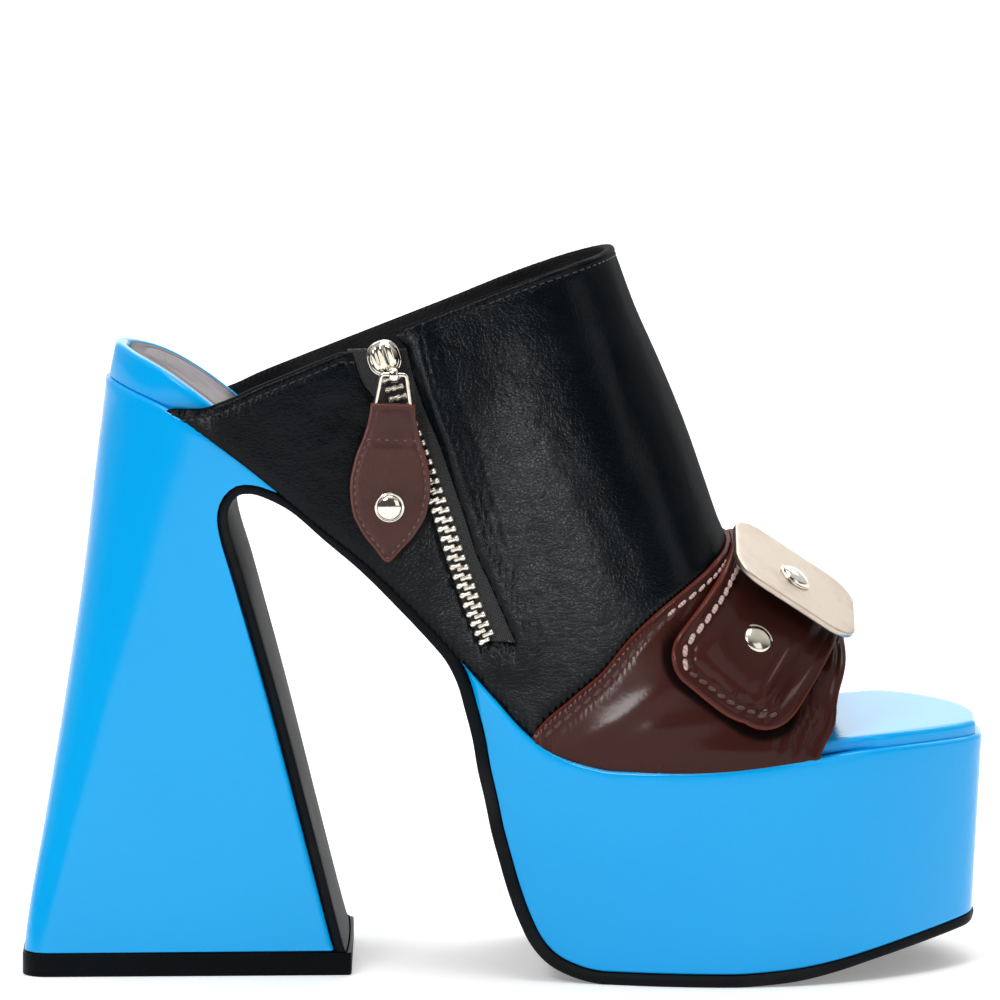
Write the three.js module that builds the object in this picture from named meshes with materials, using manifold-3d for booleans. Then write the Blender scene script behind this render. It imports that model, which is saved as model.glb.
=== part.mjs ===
// A platform mule for the right foot, on a flared block heel, in millimetres.
// The toe points along +X, the outer (lateral) side faces -Y, and it stands on z = 0.
import * as THREE from 'three';
import { mergeVertices } from 'three/addons/utils/BufferGeometryUtils.js';
import Module from 'manifold-3d';

const wasm = await Module();
wasm.setup();

// Driving sizes of the shoe
const overallLength = 239.5;
const soleLength = 218.25;
const ballHalfWidth = 47.5;
const seatRise = 150;
const ridgeRise = 225;
const collarRise = 183;
const collarDrop = 3.5;
const ankleHalfWidth = 28;
const seam = 0.3;

// Wall and sheet thicknesses
const vampWall = 2;
const strapStep = 0.8;
const beltThickness = 2.1;
const outsoleSheet = 3;
const breastSheet = 2.2;
const liftThickness = 5.7;
const seatBoard = 8.4;
const toeBoard = 3;
const boardTaperTo = 0.5;
const boardTaperPower = 1.5;
const sockThickness = 1;

// Where the sole lies along X
const toeTip = overallLength / 2;
const seatBack = toeTip - soleLength;
const along = (share) => seatBack + share * soleLength;

// Plan of the sole: half widths as shares of the ball's half width
const plan = [
  { at: 0, lateral: 0.05, medial: 0.05 },
  { at: 0.0023, lateral: 0.107, medial: 0.107 },
  { at: 0.0092, lateral: 0.213, medial: 0.213 },
  { at: 0.0206, lateral: 0.312, medial: 0.312 },
  { at: 0.0367, lateral: 0.404, medial: 0.404 },
  { at: 0.06, lateral: 0.49, medial: 0.49 },
  { at: 0.092, lateral: 0.566, medial: 0.566 },
  { at: 0.128, lateral: 0.606, medial: 0.606 },
  { at: 0.2, lateral: 0.606, medial: 0.604 },
  { at: 0.29, lateral: 0.6, medial: 0.59 },
  { at: 0.36, lateral: 0.63, medial: 0.6 },
  { at: 0.43, lateral: 0.705, medial: 0.67 },
  { at: 0.5, lateral: 0.81, medial: 0.785 },
  { at: 0.57, lateral: 0.905, medial: 0.89 },
  { at: 0.64, lateral: 0.975, medial: 0.965 },
  { at: 0.7, lateral: 1, medial: 1 },
  { at: 0.772, lateral: 0.966, medial: 0.992 },
  { at: 0.813, lateral: 0.912, medial: 0.962 },
  { at: 0.864, lateral: 0.804, medial: 0.89 },
  { at: 0.914, lateral: 0.645, medial: 0.786 },
  { at: 0.955, lateral: 0.474, medial: 0.62 },
  { at: 0.98, lateral: 0.347, medial: 0.44 },
  { at: 0.992, lateral: 0.263, medial: 0.27 },
  { at: 0.998, lateral: 0.19, medial: 0.14 },
  { at: 1, lateral: 0.13, medial: 0.06 },
];

// Feather line, where the upper meets the sole: height as a share of the seat's rise
const featherLine = [
  { at: 0, rise: 0.973 },
  { at: 0.03, rise: 0.968 },
  { at: 0.064, rise: 0.95 },
  { at: 0.104, rise: 0.917 },
  { at: 0.15, rise: 0.869 },
  { at: 0.2, rise: 0.81 },
  { at: 0.242, rise: 0.758 },
  { at: 0.288, rise: 0.704 },
  { at: 0.333, rise: 0.642 },
  { at: 0.379, rise: 0.573 },
  { at: 0.41, rise: 0.521 },
  { at: 0.442, rise: 0.47 },
  { at: 0.474, rise: 0.42 },
  { at: 0.5, rise: 0.391 },
  { at: 0.535, rise: 0.371 },
  { at: 0.58, rise: 0.36 },
  { at: 0.64, rise: 0.36 },
  { at: 0.7, rise: 0.364 },
  { at: 0.81, rise: 0.381 },
  { at: 0.9, rise: 0.391 },
  { at: 1, rise: 0.388 },
];

// Ridge over the instep, carried on above the collar: height as a share of the ridge's rise
const ridgeLine = [
  { at: 0, rise: 1 },
  { at: 0.42, rise: 0.99 },
  { at: 0.5, rise: 0.93 },
  { at: 0.575, rise: 0.8 },
  { at: 0.601, rise: 0.733 },
  { at: 0.631, rise: 0.667 },
  { at: 0.66, rise: 0.598 },
  { at: 0.685, rise: 0.53 },
  { at: 0.7, rise: 0.493 },
  { at: 0.72, rise: 0.461 },
  { at: 0.75, rise: 0.434 },
  { at: 0.788, rise: 0.406 },
  { at: 0.84, rise: 0.368 },
  { at: 0.9, rise: 0.34 },
];

// How square the arch of the upper is, and how far it stands out from the sole's plan
const fullnessLine = [
  { at: 0, power: 2.5 },
  { at: 0.5, power: 2.6 },
  { at: 0.62, power: 2.6 },
  { at: 0.75, power: 2.25 },
  { at: 0.9, power: 2.2 },
];
const proudLine = [
  { at: 0, out: 1 },
  { at: 0.1, out: 0.9 },
  { at: 0.35, out: -0.9 },
  { at: 0.6, out: -1.5 },
  { at: 1, out: -1.5 },
];

// Collar edge on the lateral side: height as a share of the collar's rise
const collarLine = [
  { at: 0.05, rise: 0.777 },
  { at: 0.104, rise: 0.778 },
  { at: 0.123, rise: 0.784 },
  { at: 0.147, rise: 0.795 },
  { at: 0.168, rise: 0.807 },
  { at: 0.219, rise: 0.832 },
  { at: 0.39, rise: 0.914 },
  { at: 0.482, rise: 0.957 },
  { at: 0.562, rise: 0.988 },
  { at: 0.6, rise: 1 },
];

// Seam between vamp and toe strap, and the strap's front edge, as shares of the ridge's rise
const strapSeam = [
  { at: 0.47, rise: 0.2 },
  { at: 0.482, rise: 0.272 },
  { at: 0.527, rise: 0.319 },
  { at: 0.561, rise: 0.349 },
  { at: 0.594, rise: 0.389 },
  { at: 0.628, rise: 0.421 },
  { at: 0.662, rise: 0.447 },
  { at: 0.69, rise: 0.466 },
  { at: 0.715, rise: 0.482 },
  { at: 0.73, rise: 0.6 },
];
const strapFront = [
  { at: 0.8, rise: 0.2 },
  { at: 0.811, rise: 0.253 },
  { at: 0.829, rise: 0.298 },
  { at: 0.84, rise: 0.36 },
  { at: 0.842, rise: 0.6 },
];

// Inner face of the outsole from the toe, under the platform, over the arch and down the breast
const soleRun = [
  { at: 0.992, rise: 0.083 },
  { at: 0.98, rise: 0.081 },
  { at: 0.955, rise: 0.075 },
  { at: 0.914, rise: 0.064 },
  { at: 0.873, rise: 0.051 },
  { at: 0.836, rise: 0.039 },
  { at: 0.795, rise: 0.029 },
  { at: 0.754, rise: 0.023 },
  { at: 0.718, rise: 0.02 },
  { at: 0.66, rise: 0.02 },
  { at: 0.6, rise: 0.02 },
  { at: 0.565, rise: 0.02 },
  { at: 0.537, rise: 0.028 },
  { at: 0.512, rise: 0.045 },
  { at: 0.495, rise: 0.071 },
  { at: 0.482, rise: 0.108 },
  { at: 0.47, rise: 0.155 },
  { at: 0.46, rise: 0.205 },
  { at: 0.451, rise: 0.253 },
  { at: 0.444, rise: 0.303 },
  { at: 0.436, rise: 0.353 },
  { at: 0.43, rise: 0.404 },
  { at: 0.421, rise: 0.455 },
  { at: 0.412, rise: 0.5 },
  { at: 0.398, rise: 0.54 },
];
const archCrown = [
  { at: 0.182, rise: 0.815 },
  { at: 0.165, rise: 0.821 },
  { at: 0.149, rise: 0.819 },
  { at: 0.136, rise: 0.804 },
  { at: 0.129, rise: 0.782 },
  { at: 0.128, rise: 0.762 },
  { at: 0.132, rise: 0.73 },
  { at: 0.143, rise: 0.677 },
  { at: 0.154, rise: 0.623 },
  { at: 0.186, rise: 0.459 },
  { at: 0.231, rise: 0.206 },
  { at: 0.26, rise: 0.042 },
  { at: 0.269, rise: 0 },
];
const shankFrom = 0.38;
const shankTo = 0.215;
const platformTip = 0.404;
const archEnd = 0.56;
const toeTaperFrom = 0.88;
const heelTip = 0.197;
const heelReachAt = 0.3;

// Heel block: level rings up its height, the back as a share of the heel's overhang behind the seat
const heelRings = [
  { rise: 0, back: 1, halfBack: 0.64, halfFront: 0.58, cornerLength: 6, cornerWidth: 6 },
  { rise: 0.064, back: 0.965, halfBack: 0.632, halfFront: 0.575, cornerLength: 6.5, cornerWidth: 7 },
  { rise: 0.265, back: 0.73, halfBack: 0.61, halfFront: 0.565, cornerLength: 9, cornerWidth: 11 },
  { rise: 0.468, back: 0.494, halfBack: 0.594, halfFront: 0.56, cornerLength: 13, cornerWidth: 16 },
  { rise: 0.67, back: 0.282, halfBack: 0.59, halfFront: 0.57, cornerLength: 19, cornerWidth: 21 },
  { rise: 0.847, back: 0.141, halfBack: 0.597, halfFront: 0.59, cornerLength: 26, cornerWidth: 26 },
  { rise: 0.97, back: 0.035, halfBack: 0.606, halfFront: 0.606, cornerLength: 31, cornerWidth: 28.5 },
  { rise: 1.05, back: 0, halfBack: 0.606, halfFront: 0.606, cornerLength: 32, cornerWidth: 28.7 },
];
const breastBulge = 2.3;
const bulgeLine = [
  { rise: 0.04, share: 0.25 },
  { rise: 0.3, share: 0.5 },
  { rise: 0.6, share: 0.85 },
  { rise: 0.7, share: 1 },
  { rise: 0.76, share: 0.9 },
  { rise: 0.8, share: 0.25 },
  { rise: 0.812, share: 0 },
];
const liftFront = 0.2785;
const platformTaper = 1.6;
const toeTaper = 2.2;

// Zip: its centre line down the lateral side, with the opening's two half widths in millimetres
const zipLine = [
  { at: 0.3125, rise: 1.05, back: 7.4, front: 6.3 },
  { at: 0.324, rise: 1, back: 7.5, front: 5.6 },
  { at: 0.3386, rise: 0.944, back: 4.6, front: 5.3 },
  { at: 0.3537, rise: 0.887, back: 3.2, front: 5.6 },
  { at: 0.3684, rise: 0.83, back: 2.8, front: 5.3 },
  { at: 0.3826, rise: 0.773, back: 2.5, front: 5.2 },
  { at: 0.3959, rise: 0.713, back: 2.8, front: 5.1 },
  { at: 0.4082, rise: 0.661, back: 2.6, front: 6 },
  { at: 0.4225, rise: 0.604, back: 2.4, front: 6.6 },
  { at: 0.4348, rise: 0.565, back: 2.2, front: 6.5 },
];
const tapeRecess = 0.7;
const tapeThickness = 1;
const chainHalfWidth = 2.1;
const chainProud = 0.4;
const chainEnds = 0.01;

// Belt of the buckle: it crosses the strap square to the ridge
const ridgePitch = THREE.MathUtils.degToRad(36);
const beltBack = -17;
const beltFront = 18;
const beltEnd = 88.4;
const beltCorner = 9;

// Buckle plate and studs
const plateAlong = 36.5;
const plateAcross = 31;
const plateThickness = 1.6;
const plateCorner = 8;
const plateLift = 3.2;
const plateAt = 0.764;
const plateTurn = 0.384;
const platePitch = THREE.MathUtils.degToRad(5);
const lugWidth = 3;
const lugDepth = 3;
const studRadius = 4.4;
const studHeight = 2;
const studRim = 0.2;
const beltStud = { at: 0.733, rise: 0.562 };

// Zip slider and its pull
const sliderAt = { at: 0.3165, rise: 1.034 };
const sliderWidth = 9;
const sliderLength = 9.5;
const sliderPlate = 1.4;
const sliderDome = 3;
const domeRadius = 3.7;
const domeRise = 0.9;
const sliderCorner = 2.6;
const pivotDrop = 4.2;
const pivotProud = 3.2;
const pivotAhead = 1.2;
const eyeRadius = 2;
const eyeHole = 1.15;
const eyeWidth = 2.4;
const eyeSink = 0.2;
const bailBar = 1.2;
const bailTop = 3.9;
const bailFoot = 5;
const bailLength = 9;
const tabStart = 7.2;
const tabThickness = 2;
const foldThickness = 3;
const foldLength = 4.4;
const pullLean = THREE.MathUtils.degToRad(2);
const pullOutline = [
  { drop: 7.2, half: 5.5 },
  { drop: 11, half: 5.9 },
  { drop: 15.5, half: 7 },
  { drop: 21, half: 8.9 },
  { drop: 28, half: 10 },
  { drop: 34, half: 9.3 },
  { drop: 39.5, half: 6.7 },
  { drop: 44, half: 3 },
];
const pullTip = 47;
const pullStudRadius = 3.7;
const pullStudDrop = 33;

// A smooth curve through two columns of a table, with no overshoot between rows
function through(rows, across, up) {
  const xs = rows.map((row) => row[across]);
  const ys = rows.map((row) => row[up]);
  const steps = xs.slice(1).map((x, i) => (ys[i + 1] - ys[i]) / (x - xs[i]));
  const slopes = xs.map((x, i) => {
    const before = steps[Math.max(i - 1, 0)];
    const after = steps[Math.min(i, steps.length - 1)];
    return before * after <= 0 ? 0 : (2 * before * after) / (before + after);
  });
  return (x) => {
    const place = THREE.MathUtils.clamp(x, xs[0], xs.at(-1));
    const i = Math.min(xs.filter((value) => value < place).length, xs.length - 1);
    const low = Math.max(i - 1, 0);
    const span = xs[low + 1] - xs[low];
    const t = (place - xs[low]) / span;
    const s = 1 - t;
    const ends = ys[low] * (1 + 2 * t) * s * s + ys[low + 1] * (3 - 2 * t) * t * t;
    return ends + span * t * s * (slopes[low] * s - slopes[low + 1] * t);
  };
}

const shareOf = (x) => (x - seatBack) / soleLength;
const curveAlong = (rows, column, size) => {
  const curve = through(rows, 'at', column);
  return (x) => size * curve(shareOf(x));
};
const lateral = curveAlong(plan, 'lateral', ballHalfWidth);
const medial = curveAlong(plan, 'medial', ballHalfWidth);
const feather = curveAlong(featherLine, 'rise', seatRise);
const ridge = curveAlong(ridgeLine, 'rise', ridgeRise);
const fullness = curveAlong(fullnessLine, 'power', 1);
const proud = curveAlong(proudLine, 'out', 1);
const collar = curveAlong(collarLine, 'rise', collarRise);
const boardThickness = (x) => {
  const share = Math.min(shareOf(x) / boardTaperTo, 1) ** boardTaperPower;
  return THREE.MathUtils.lerp(seatBoard, toeBoard, share);
};

// Solids: a closed mesh becomes a solid, and a solid becomes a geometry again
function solidOf(geometry) {
  const bare = geometry.index ? geometry : mergeVertices(geometry);
  bare.deleteAttribute('normal');
  bare.deleteAttribute('uv');
  const merged = mergeVertices(bare, 1e-4);
  const vertProperties = new Float32Array(merged.attributes.position.array);
  const triVerts = new Uint32Array(merged.index.array);
  return new wasm.Manifold(new wasm.Mesh({ numProp: 3, vertProperties, triVerts }));
}

function geometryOf(solid) {
  const mesh = solid.getMesh();
  const geometry = new THREE.BufferGeometry();
  geometry.setAttribute('position', new THREE.BufferAttribute(new Float32Array(mesh.vertProperties), 3));
  geometry.setIndex(new THREE.BufferAttribute(new Uint32Array(mesh.triVerts), 1));
  geometry.computeVertexNormals();
  return geometry;
}

// A closed mesh from points and triangles, turned right side out
function closedMesh(points, triangles) {
  const volume = triangles.reduce((sum, [a, b, c]) => {
    const normal = points[b].clone().cross(points[c]);
    return sum + points[a].dot(normal);
  }, 0);
  const faces = volume < 0 ? triangles.map(([a, b, c]) => [a, c, b]) : triangles;
  const geometry = new THREE.BufferGeometry().setFromPoints(points);
  geometry.setIndex(faces.flat());
  return solidOf(geometry);
}

// A slab whose stations each have an upper row and a lower row of points
function slab(stations) {
  const across = stations[0].upper.length;
  const points = stations.flatMap((station) => [...station.upper, ...station.lower]);
  const triangles = [];
  const quad = (a, b, c, d) => triangles.push([a, b, c], [a, c, d]);
  const up = (i, j) => i * 2 * across + j;
  const down = (i, j) => up(i, j) + across;
  const last = stations.length - 1;
  for (let i = 0; i < last; i += 1) {
    for (let j = 0; j < across - 1; j += 1) {
      quad(up(i, j), up(i, j + 1), up(i + 1, j + 1), up(i + 1, j));
      quad(down(i, j), down(i + 1, j), down(i + 1, j + 1), down(i, j + 1));
    }
    quad(up(i, 0), up(i + 1, 0), down(i + 1, 0), down(i, 0));
    quad(up(i, across - 1), down(i, across - 1), down(i + 1, across - 1), up(i + 1, across - 1));
  }
  for (let j = 0; j < across - 1; j += 1) {
    quad(up(0, j), down(0, j), down(0, j + 1), up(0, j + 1));
    quad(up(last, j), up(last, j + 1), down(last, j + 1), down(last, j));
  }
  return closedMesh(points, triangles);
}

// A solid through level rings of equal point counts
function tower(rings) {
  const count = rings[0].length;
  const points = rings.flat();
  const triangles = [];
  for (let i = 0; i < rings.length - 1; i += 1) {
    for (let j = 0; j < count; j += 1) {
      const next = (j + 1) % count;
      const a = i * count + j;
      const b = i * count + next;
      triangles.push([a, b, b + count], [a, b + count, a + count]);
    }
  }
  const top = (rings.length - 1) * count;
  for (let j = 1; j < count - 1; j += 1) {
    triangles.push([0, j + 1, j], [top, top + j, top + j + 1]);
  }
  return closedMesh(points, triangles);
}

// A side-view outline carried across the shoe between two Y values, its height falling with Y
const level = () => 0;
function sidePrism(outline, fromY, toY, fall = 0, steps = 1, push = level) {
  const shape = new THREE.Shape(outline.map(([x, z]) => new THREE.Vector2(x, z)));
  const geometry = new THREE.ExtrudeGeometry(shape, { depth: toY - fromY, steps, bevelEnabled: false });
  geometry.rotateX(Math.PI / 2);
  geometry.translate(0, toY, 0);
  const position = geometry.attributes.position;
  for (let i = 0; i < position.count; i += 1) {
    const [x, y, z] = [position.getX(i), position.getY(i), position.getZ(i)];
    position.setXYZ(i, x + push(x, y, z), y, z - fall * y);
  }
  return solidOf(geometry);
}

const farAcross = 70;
const sideLine = (rows, size) => rows.map((row) => [along(row.at), row.rise * size]);
const range = (count) => Array.from({ length: count + 1 }, (value, i) => i / count);

// Stations along the sole: even ones between the plan's own rows
const planStations = plan.flatMap((row, i) => {
  const next = plan[i + 1];
  if (!next) return [along(row.at)];
  const parts = Math.max(1, Math.round((next.at - row.at) / 0.045));
  return range(parts).slice(0, -1).map((t) => along(row.at + t * (next.at - row.at)));
});

// A half width set in by a margin that is measured square to the plan's edge
function insetHalf(curve, x, margin) {
  const slope = curve(x + 0.5) - curve(x - 0.5);
  return Math.max(curve(x) - margin * Math.hypot(1, slope), 0.5);
}

// Flat boards on the sole: a station's corners at the plan, set in by a margin
function board(stations, margin, low, top) {
  return slab(stations.map((x) => {
    const left = -insetHalf(lateral, x, margin(x));
    const right = insetHalf(medial, x, margin(x));
    const row = (z) => [new THREE.Vector3(x, left, z), new THREE.Vector3(x, right, z)];
    return { upper: row(top(x)), lower: row(low(x)) };
  }));
}

const boardMargin = (x) => vampWall + 2 * seam - proud(x);
const boardLow = (x) => feather(x) + seam;
const boardHigh = (x) => boardLow(x) + boardThickness(x);
const boardStations = planStations.filter((x) => (
  x > seatBack + boardMargin(x) && x < toeTip - boardMargin(x)
));
const insoleBoard = board(boardStations, boardMargin, boardLow, boardHigh);

// Sock on the heel seat, running forward under the upper
const sockMargin = 3.2;
const sockEnd = 0.7;
const sockStations = planStations.filter((x) => x > seatBack + sockMargin + 1 && x < along(sockEnd));
const heelSock = board(
  sockStations,
  (x) => boardMargin(x) + sockMargin,
  (x) => boardHigh(x) + seam,
  (x) => boardHigh(x) + seam + sockThickness,
);

// The outsole's run: forefoot and platform back, then the shank on the feather line, then the breast
const shankRun = range(4).map((t) => {
  const at = THREE.MathUtils.lerp(shankFrom, shankTo, t);
  return { at, rise: feather(along(at)) / seatRise };
});
const runRows = [...soleRun, ...shankRun, ...archCrown];
const runCurve = new THREE.CatmullRomCurve3(
  runRows.map((row) => new THREE.Vector3(along(row.at), 0, row.rise * seatRise)),
  false,
  'centripetal',
);
const shankRow = soleRun.length;
const crownRow = shankRow + shankRun.length + 1;
const runPieces = 2;
const runSteps = (runRows.length - 1) * runPieces;

// A place on the run by its row: the inner face, the way out of the shoe and the sheet's thickness
function runPlace(row) {
  const t = row / (runRows.length - 1);
  const ahead = runCurve.getTangent(t);
  const toBreast = THREE.MathUtils.smoothstep(row, shankRow, crownRow);
  const inner = runCurve.getPoint(t);
  if (row < shankRow) inner.z = Math.max(inner.z, outsoleSheet);
  return {
    row,
    inner,
    out: new THREE.Vector3(-ahead.z, 0, ahead.x),
    sheet: THREE.MathUtils.lerp(outsoleSheet, breastSheet, toBreast),
  };
}
const run = Array.from({ length: runSteps + 1 }, (value, i) => runPlace(i / runPieces));

// The heel's breast swells forward between its two edges
const bulgeShare = through(bulgeLine, 'rise', 'share');
const heelHalf = through(heelRings, 'rise', 'halfFront');
const heelHalfAt = (z) => ballHalfWidth * heelHalf(z / seatRise);
function bulge(y, z) {
  const across = Math.min(Math.abs(y) / heelHalfAt(z), 1);
  return breastBulge * bulgeShare(z / seatRise) * (1 - across ** 2);
}

const outsoleMargin = 1.6;
const breastEdge = 0.2;
const outsoleAcross = 4;
const outsoleSlab = slab(run.map(({ row, inner, out, sheet }) => {
  const onBreast = row > crownRow;
  const level = heelHalfAt(inner.z) - breastEdge;
  const left = onBreast ? level : lateral(inner.x) - outsoleMargin;
  const right = onBreast ? level : medial(inner.x) - outsoleMargin;
  const rowAt = (depth) => range(outsoleAcross).map((t) => {
    const point = inner.clone().addScaledVector(out, depth);
    point.y = THREE.MathUtils.lerp(-left, right, t);
    if (onBreast) point.x += bulge(point.y, point.z);
    else point.z = Math.max(point.z, outsoleSheet - depth);
    return point;
  });
  return { upper: rowAt(0), lower: rowAt(sheet) };
}));
const heelFloor = liftThickness + seam;
const underHeelOutline = [
  [-overallLength, -seatRise],
  [along(platformTip), -seatRise],
  [along(platformTip), heelFloor],
  [-overallLength, heelFloor],
];
const underHeel = sidePrism(underHeelOutline, -farAcross, farAcross);
const outsole = outsoleSlab.subtract(underHeel);

// The platform stands on the outsole's inner face and ends at the feather line
const clearOfRun = run.map(({ row, inner, out }) => ({
  row,
  x: inner.x - out.x * seam,
  z: inner.z - out.z * seam,
}));
const platformRows = clearOfRun.filter((place) => place.row < shankRow + 1).reverse();
const platformFloor = through(platformRows, 'x', 'z');
const platformStations = [
  along(platformTip),
  ...platformRows.map((place) => place.x).filter((x) => x > along(platformTip) + 0.5 && x < along(archEnd)),
  ...planStations.filter((x) => x > along(archEnd) + 1),
];
const platform = slab(platformStations.map((x) => {
  const foot = x - toeTaper * THREE.MathUtils.smoothstep(x, along(toeTaperFrom), toeTip);
  const left = -lateral(x);
  const right = medial(x);
  const narrow = Math.min(platformTaper, right / 2);
  return {
    upper: [new THREE.Vector3(x, left, feather(x)), new THREE.Vector3(x, right, feather(x))],
    lower: [
      new THREE.Vector3(foot, left + narrow, platformFloor(foot)),
      new THREE.Vector3(foot, right - narrow, platformFloor(foot)),
    ],
  };
}));

// Heel block: level rings, cut to the breast, the arch and the feather line
const heelOverhang = overallLength - soleLength;
function heelRing(ring, front, height) {
  const back = seatBack - ring.back * heelOverhang;
  const half = ring.halfBack * ballHalfWidth;
  const corner = range(6).map((t) => {
    const angle = (t * Math.PI) / 2;
    const x = back + ring.cornerLength * (1 - Math.sin(angle));
    return [x, half - ring.cornerWidth * (1 - Math.cos(angle))];
  });
  const lateralSide = [[front, ring.halfFront * ballHalfWidth], ...corner];
  const medialSide = [...lateralSide].reverse();
  return [
    ...lateralSide.map(([x, y]) => new THREE.Vector3(x, -y, height)),
    ...medialSide.map(([x, y]) => new THREE.Vector3(x, y, height)),
  ];
}
const heelReach = along(heelReachAt);
const heelTower = tower(heelRings.map((ring) => heelRing(ring, heelReach, ring.rise * seatRise)));
const heelRun = clearOfRun.filter(({ row, x }) => (
  row > crownRow || (row > shankRow + shankRun.length - 1 && x < along(heelTip))
));
const featherBack = planStations.filter((x) => x < along(heelTip)).reverse();
const heelOutline = [
  [-overallLength, -seatRise],
  [heelRun.at(-1).x, -seatRise],
  ...heelRun.map((place) => [place.x, place.z]).reverse(),
  ...featherBack.map((x) => [x, feather(x)]),
  [-overallLength, seatRise],
];
const heelSteps = 7;
const heelPrism = sidePrism(heelOutline, -farAcross / 2, farAcross / 2, 0, heelSteps, (x, y, z) => (
  x > -overallLength / 2 && z < feather(x) - seam ? bulge(y, z) : 0
));
const heelBlock = heelTower.intersect(heelPrism).subtract(underHeel);

const liftEdge = 0.5;
const liftRing = (inset, height) => heelRing(heelRings[0], along(liftFront), height).map((point) => {
  const middle = (along(liftFront) - overallLength / 2) / 2;
  point.x -= Math.sign(point.x - middle) * inset;
  point.y -= Math.sign(point.y) * inset;
  return point;
});
const topLift = tower([liftRing(liftEdge, 0), liftRing(0, liftEdge), liftRing(0, liftThickness)]);

// The upper's outer face, from the lateral feather line over the ridge to the medial one
function upperPoint(x, turn) {
  const angle = Math.PI * turn;
  const side = Math.cos(angle);
  const power = 2 / fullness(x);
  const half = (side > 0 ? lateral(x) : medial(x)) + proud(x);
  const y = -Math.sign(side) * half * Math.abs(side) ** power;
  const z = feather(x) + (ridge(x) - feather(x)) * Math.abs(Math.sin(angle)) ** power;
  return new THREE.Vector3(x, y, z);
}

function upperNormal(x, turn) {
  const step = 0.004;
  const safe = THREE.MathUtils.clamp(turn, 2 * step, 1 - 2 * step);
  const alongX = upperPoint(x + 0.5, safe).sub(upperPoint(x - 0.5, safe));
  const round = upperPoint(x, safe + step).sub(upperPoint(x, safe - step));
  return round.cross(alongX).normalize().negate();
}

// The turn at which the lateral side passes a given height
function turnAt(x, z) {
  const share = THREE.MathUtils.clamp((z - feather(x)) / (ridge(x) - feather(x)), 0, 1);
  return Math.asin(share ** (fullness(x) / 2)) / Math.PI;
}

// A skin over the upper between two depths, with a skirt that runs below the feather line
const skinTurns = range(20);
const skinStep = 4.2;
const skirt = 8;
function skin(from, to, inner, outer) {
  const first = Math.floor((along(from) - seatBack) / skinStep);
  const last = Math.ceil((along(to) - seatBack) / skinStep);
  const stations = Array.from({ length: last - first + 1 }, (value, i) => seatBack + (first + i) * skinStep);
  return slab(stations.map((x) => {
    const rowAt = (depth) => {
      const row = skinTurns.map((turn) => upperPoint(x, turn).addScaledVector(upperNormal(x, turn), depth));
      const below = (point) => new THREE.Vector3(x, point.y, feather(x) - skirt);
      return [below(row[0]), ...row, below(row.at(-1))];
    };
    return { upper: rowAt(outer), lower: rowAt(inner) };
  }));
}

// Side-view regions that cut the skins into vamp and toe strap
const high = seatRise * 2;
const aboveFeather = (from, to) => planStations
  .filter((x) => x > along(from) && x < along(to))
  .map((x) => [x, feather(x) + seam]);
const seamLine = sideLine(strapSeam, ridgeRise);
const seamTop = [along(strapSeam.at(-1).at), high];
const frontLine = sideLine(strapFront, ridgeRise);
const overFeather = sidePrism(
  [...aboveFeather(0, 1), [toeTip, high], [-overallLength, high], [-overallLength, seatRise + seam]],
  -farAcross,
  farAcross,
);
const behindSeam = sidePrism(
  [[-overallLength, 0], ...seamLine, seamTop, [-overallLength, high]],
  -farAcross,
  farAcross,
);
const seamAhead = seamLine.map(([x, z]) => [x + seam, z - seam]);
const strapRegion = sidePrism(
  [...seamAhead, [seamTop[0] + seam, high], ...[...frontLine].reverse()],
  -farAcross,
  farAcross,
);
const collarEdge = sideLine(collarLine, collarRise).map(([x, z]) => [x, z - collarDrop / 2]);
const collarCut = sidePrism(
  [
    ...collarEdge,
    [collarEdge.at(-1)[0], high * 2],
    [-overallLength, high * 2],
    [-overallLength, collarEdge[0][1]],
  ],
  -farAcross,
  farAcross,
  collarDrop / (2 * ankleHalfWidth),
);

// Opening for the zip, its tape and its chain
const zipRows = [...zipLine].reverse();
const zipCurve = (column) => through(zipRows, 'rise', column);
const zipCentre = zipCurve('at');
const zipBack = zipCurve('back');
const zipFront = zipCurve('front');
const zipFoot = zipRows[0].rise;
const zipHead = zipRows.at(-1).rise;
function zipPrism(foot, head, behind, ahead) {
  const rises = range(10).map((t) => THREE.MathUtils.lerp(foot, head, t));
  const edge = (side) => rises.map((rise) => [along(zipCentre(rise)) + side(rise), rise * seatRise]);
  const outline = [...edge((rise) => -behind(rise)), ...edge(ahead).reverse()];
  return sidePrism(outline, -farAcross, -ballHalfWidth / 4);
}
const zipEnds = seam / seatRise;
const zipWindow = zipPrism(zipFoot, zipHead, zipBack, zipFront);
const tapeRegion = zipPrism(
  zipFoot + zipEnds,
  zipHead - zipEnds,
  (rise) => zipBack(rise) - seam,
  (rise) => zipFront(rise) - seam,
);
const chainRegion = zipPrism(
  zipFoot + chainEnds,
  zipHead - 3 * chainEnds,
  () => chainHalfWidth,
  () => chainHalfWidth,
);

// Each skin is made a little longer than the piece that is cut from it
const vampReach = [0.04, 0.76];
const zipReach = [0.22, 0.5];
const strapReach = [0.44, 0.86];
const beltReach = [0.58, 0.9];

const vampSkin = skin(...vampReach, -vampWall, 0);
const vamp = vampSkin.intersect(overFeather).intersect(behindSeam).subtract(collarCut).subtract(zipWindow);
const zipTape = skin(...zipReach, -tapeRecess - tapeThickness, -tapeRecess).intersect(tapeRegion);
const zipChain = skin(...zipReach, seam - tapeRecess, chainProud).intersect(chainRegion);

const strapSkin = skin(...strapReach, -vampWall, strapStep);
const toeStrap = strapSkin.intersect(overFeather).intersect(strapRegion);

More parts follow.
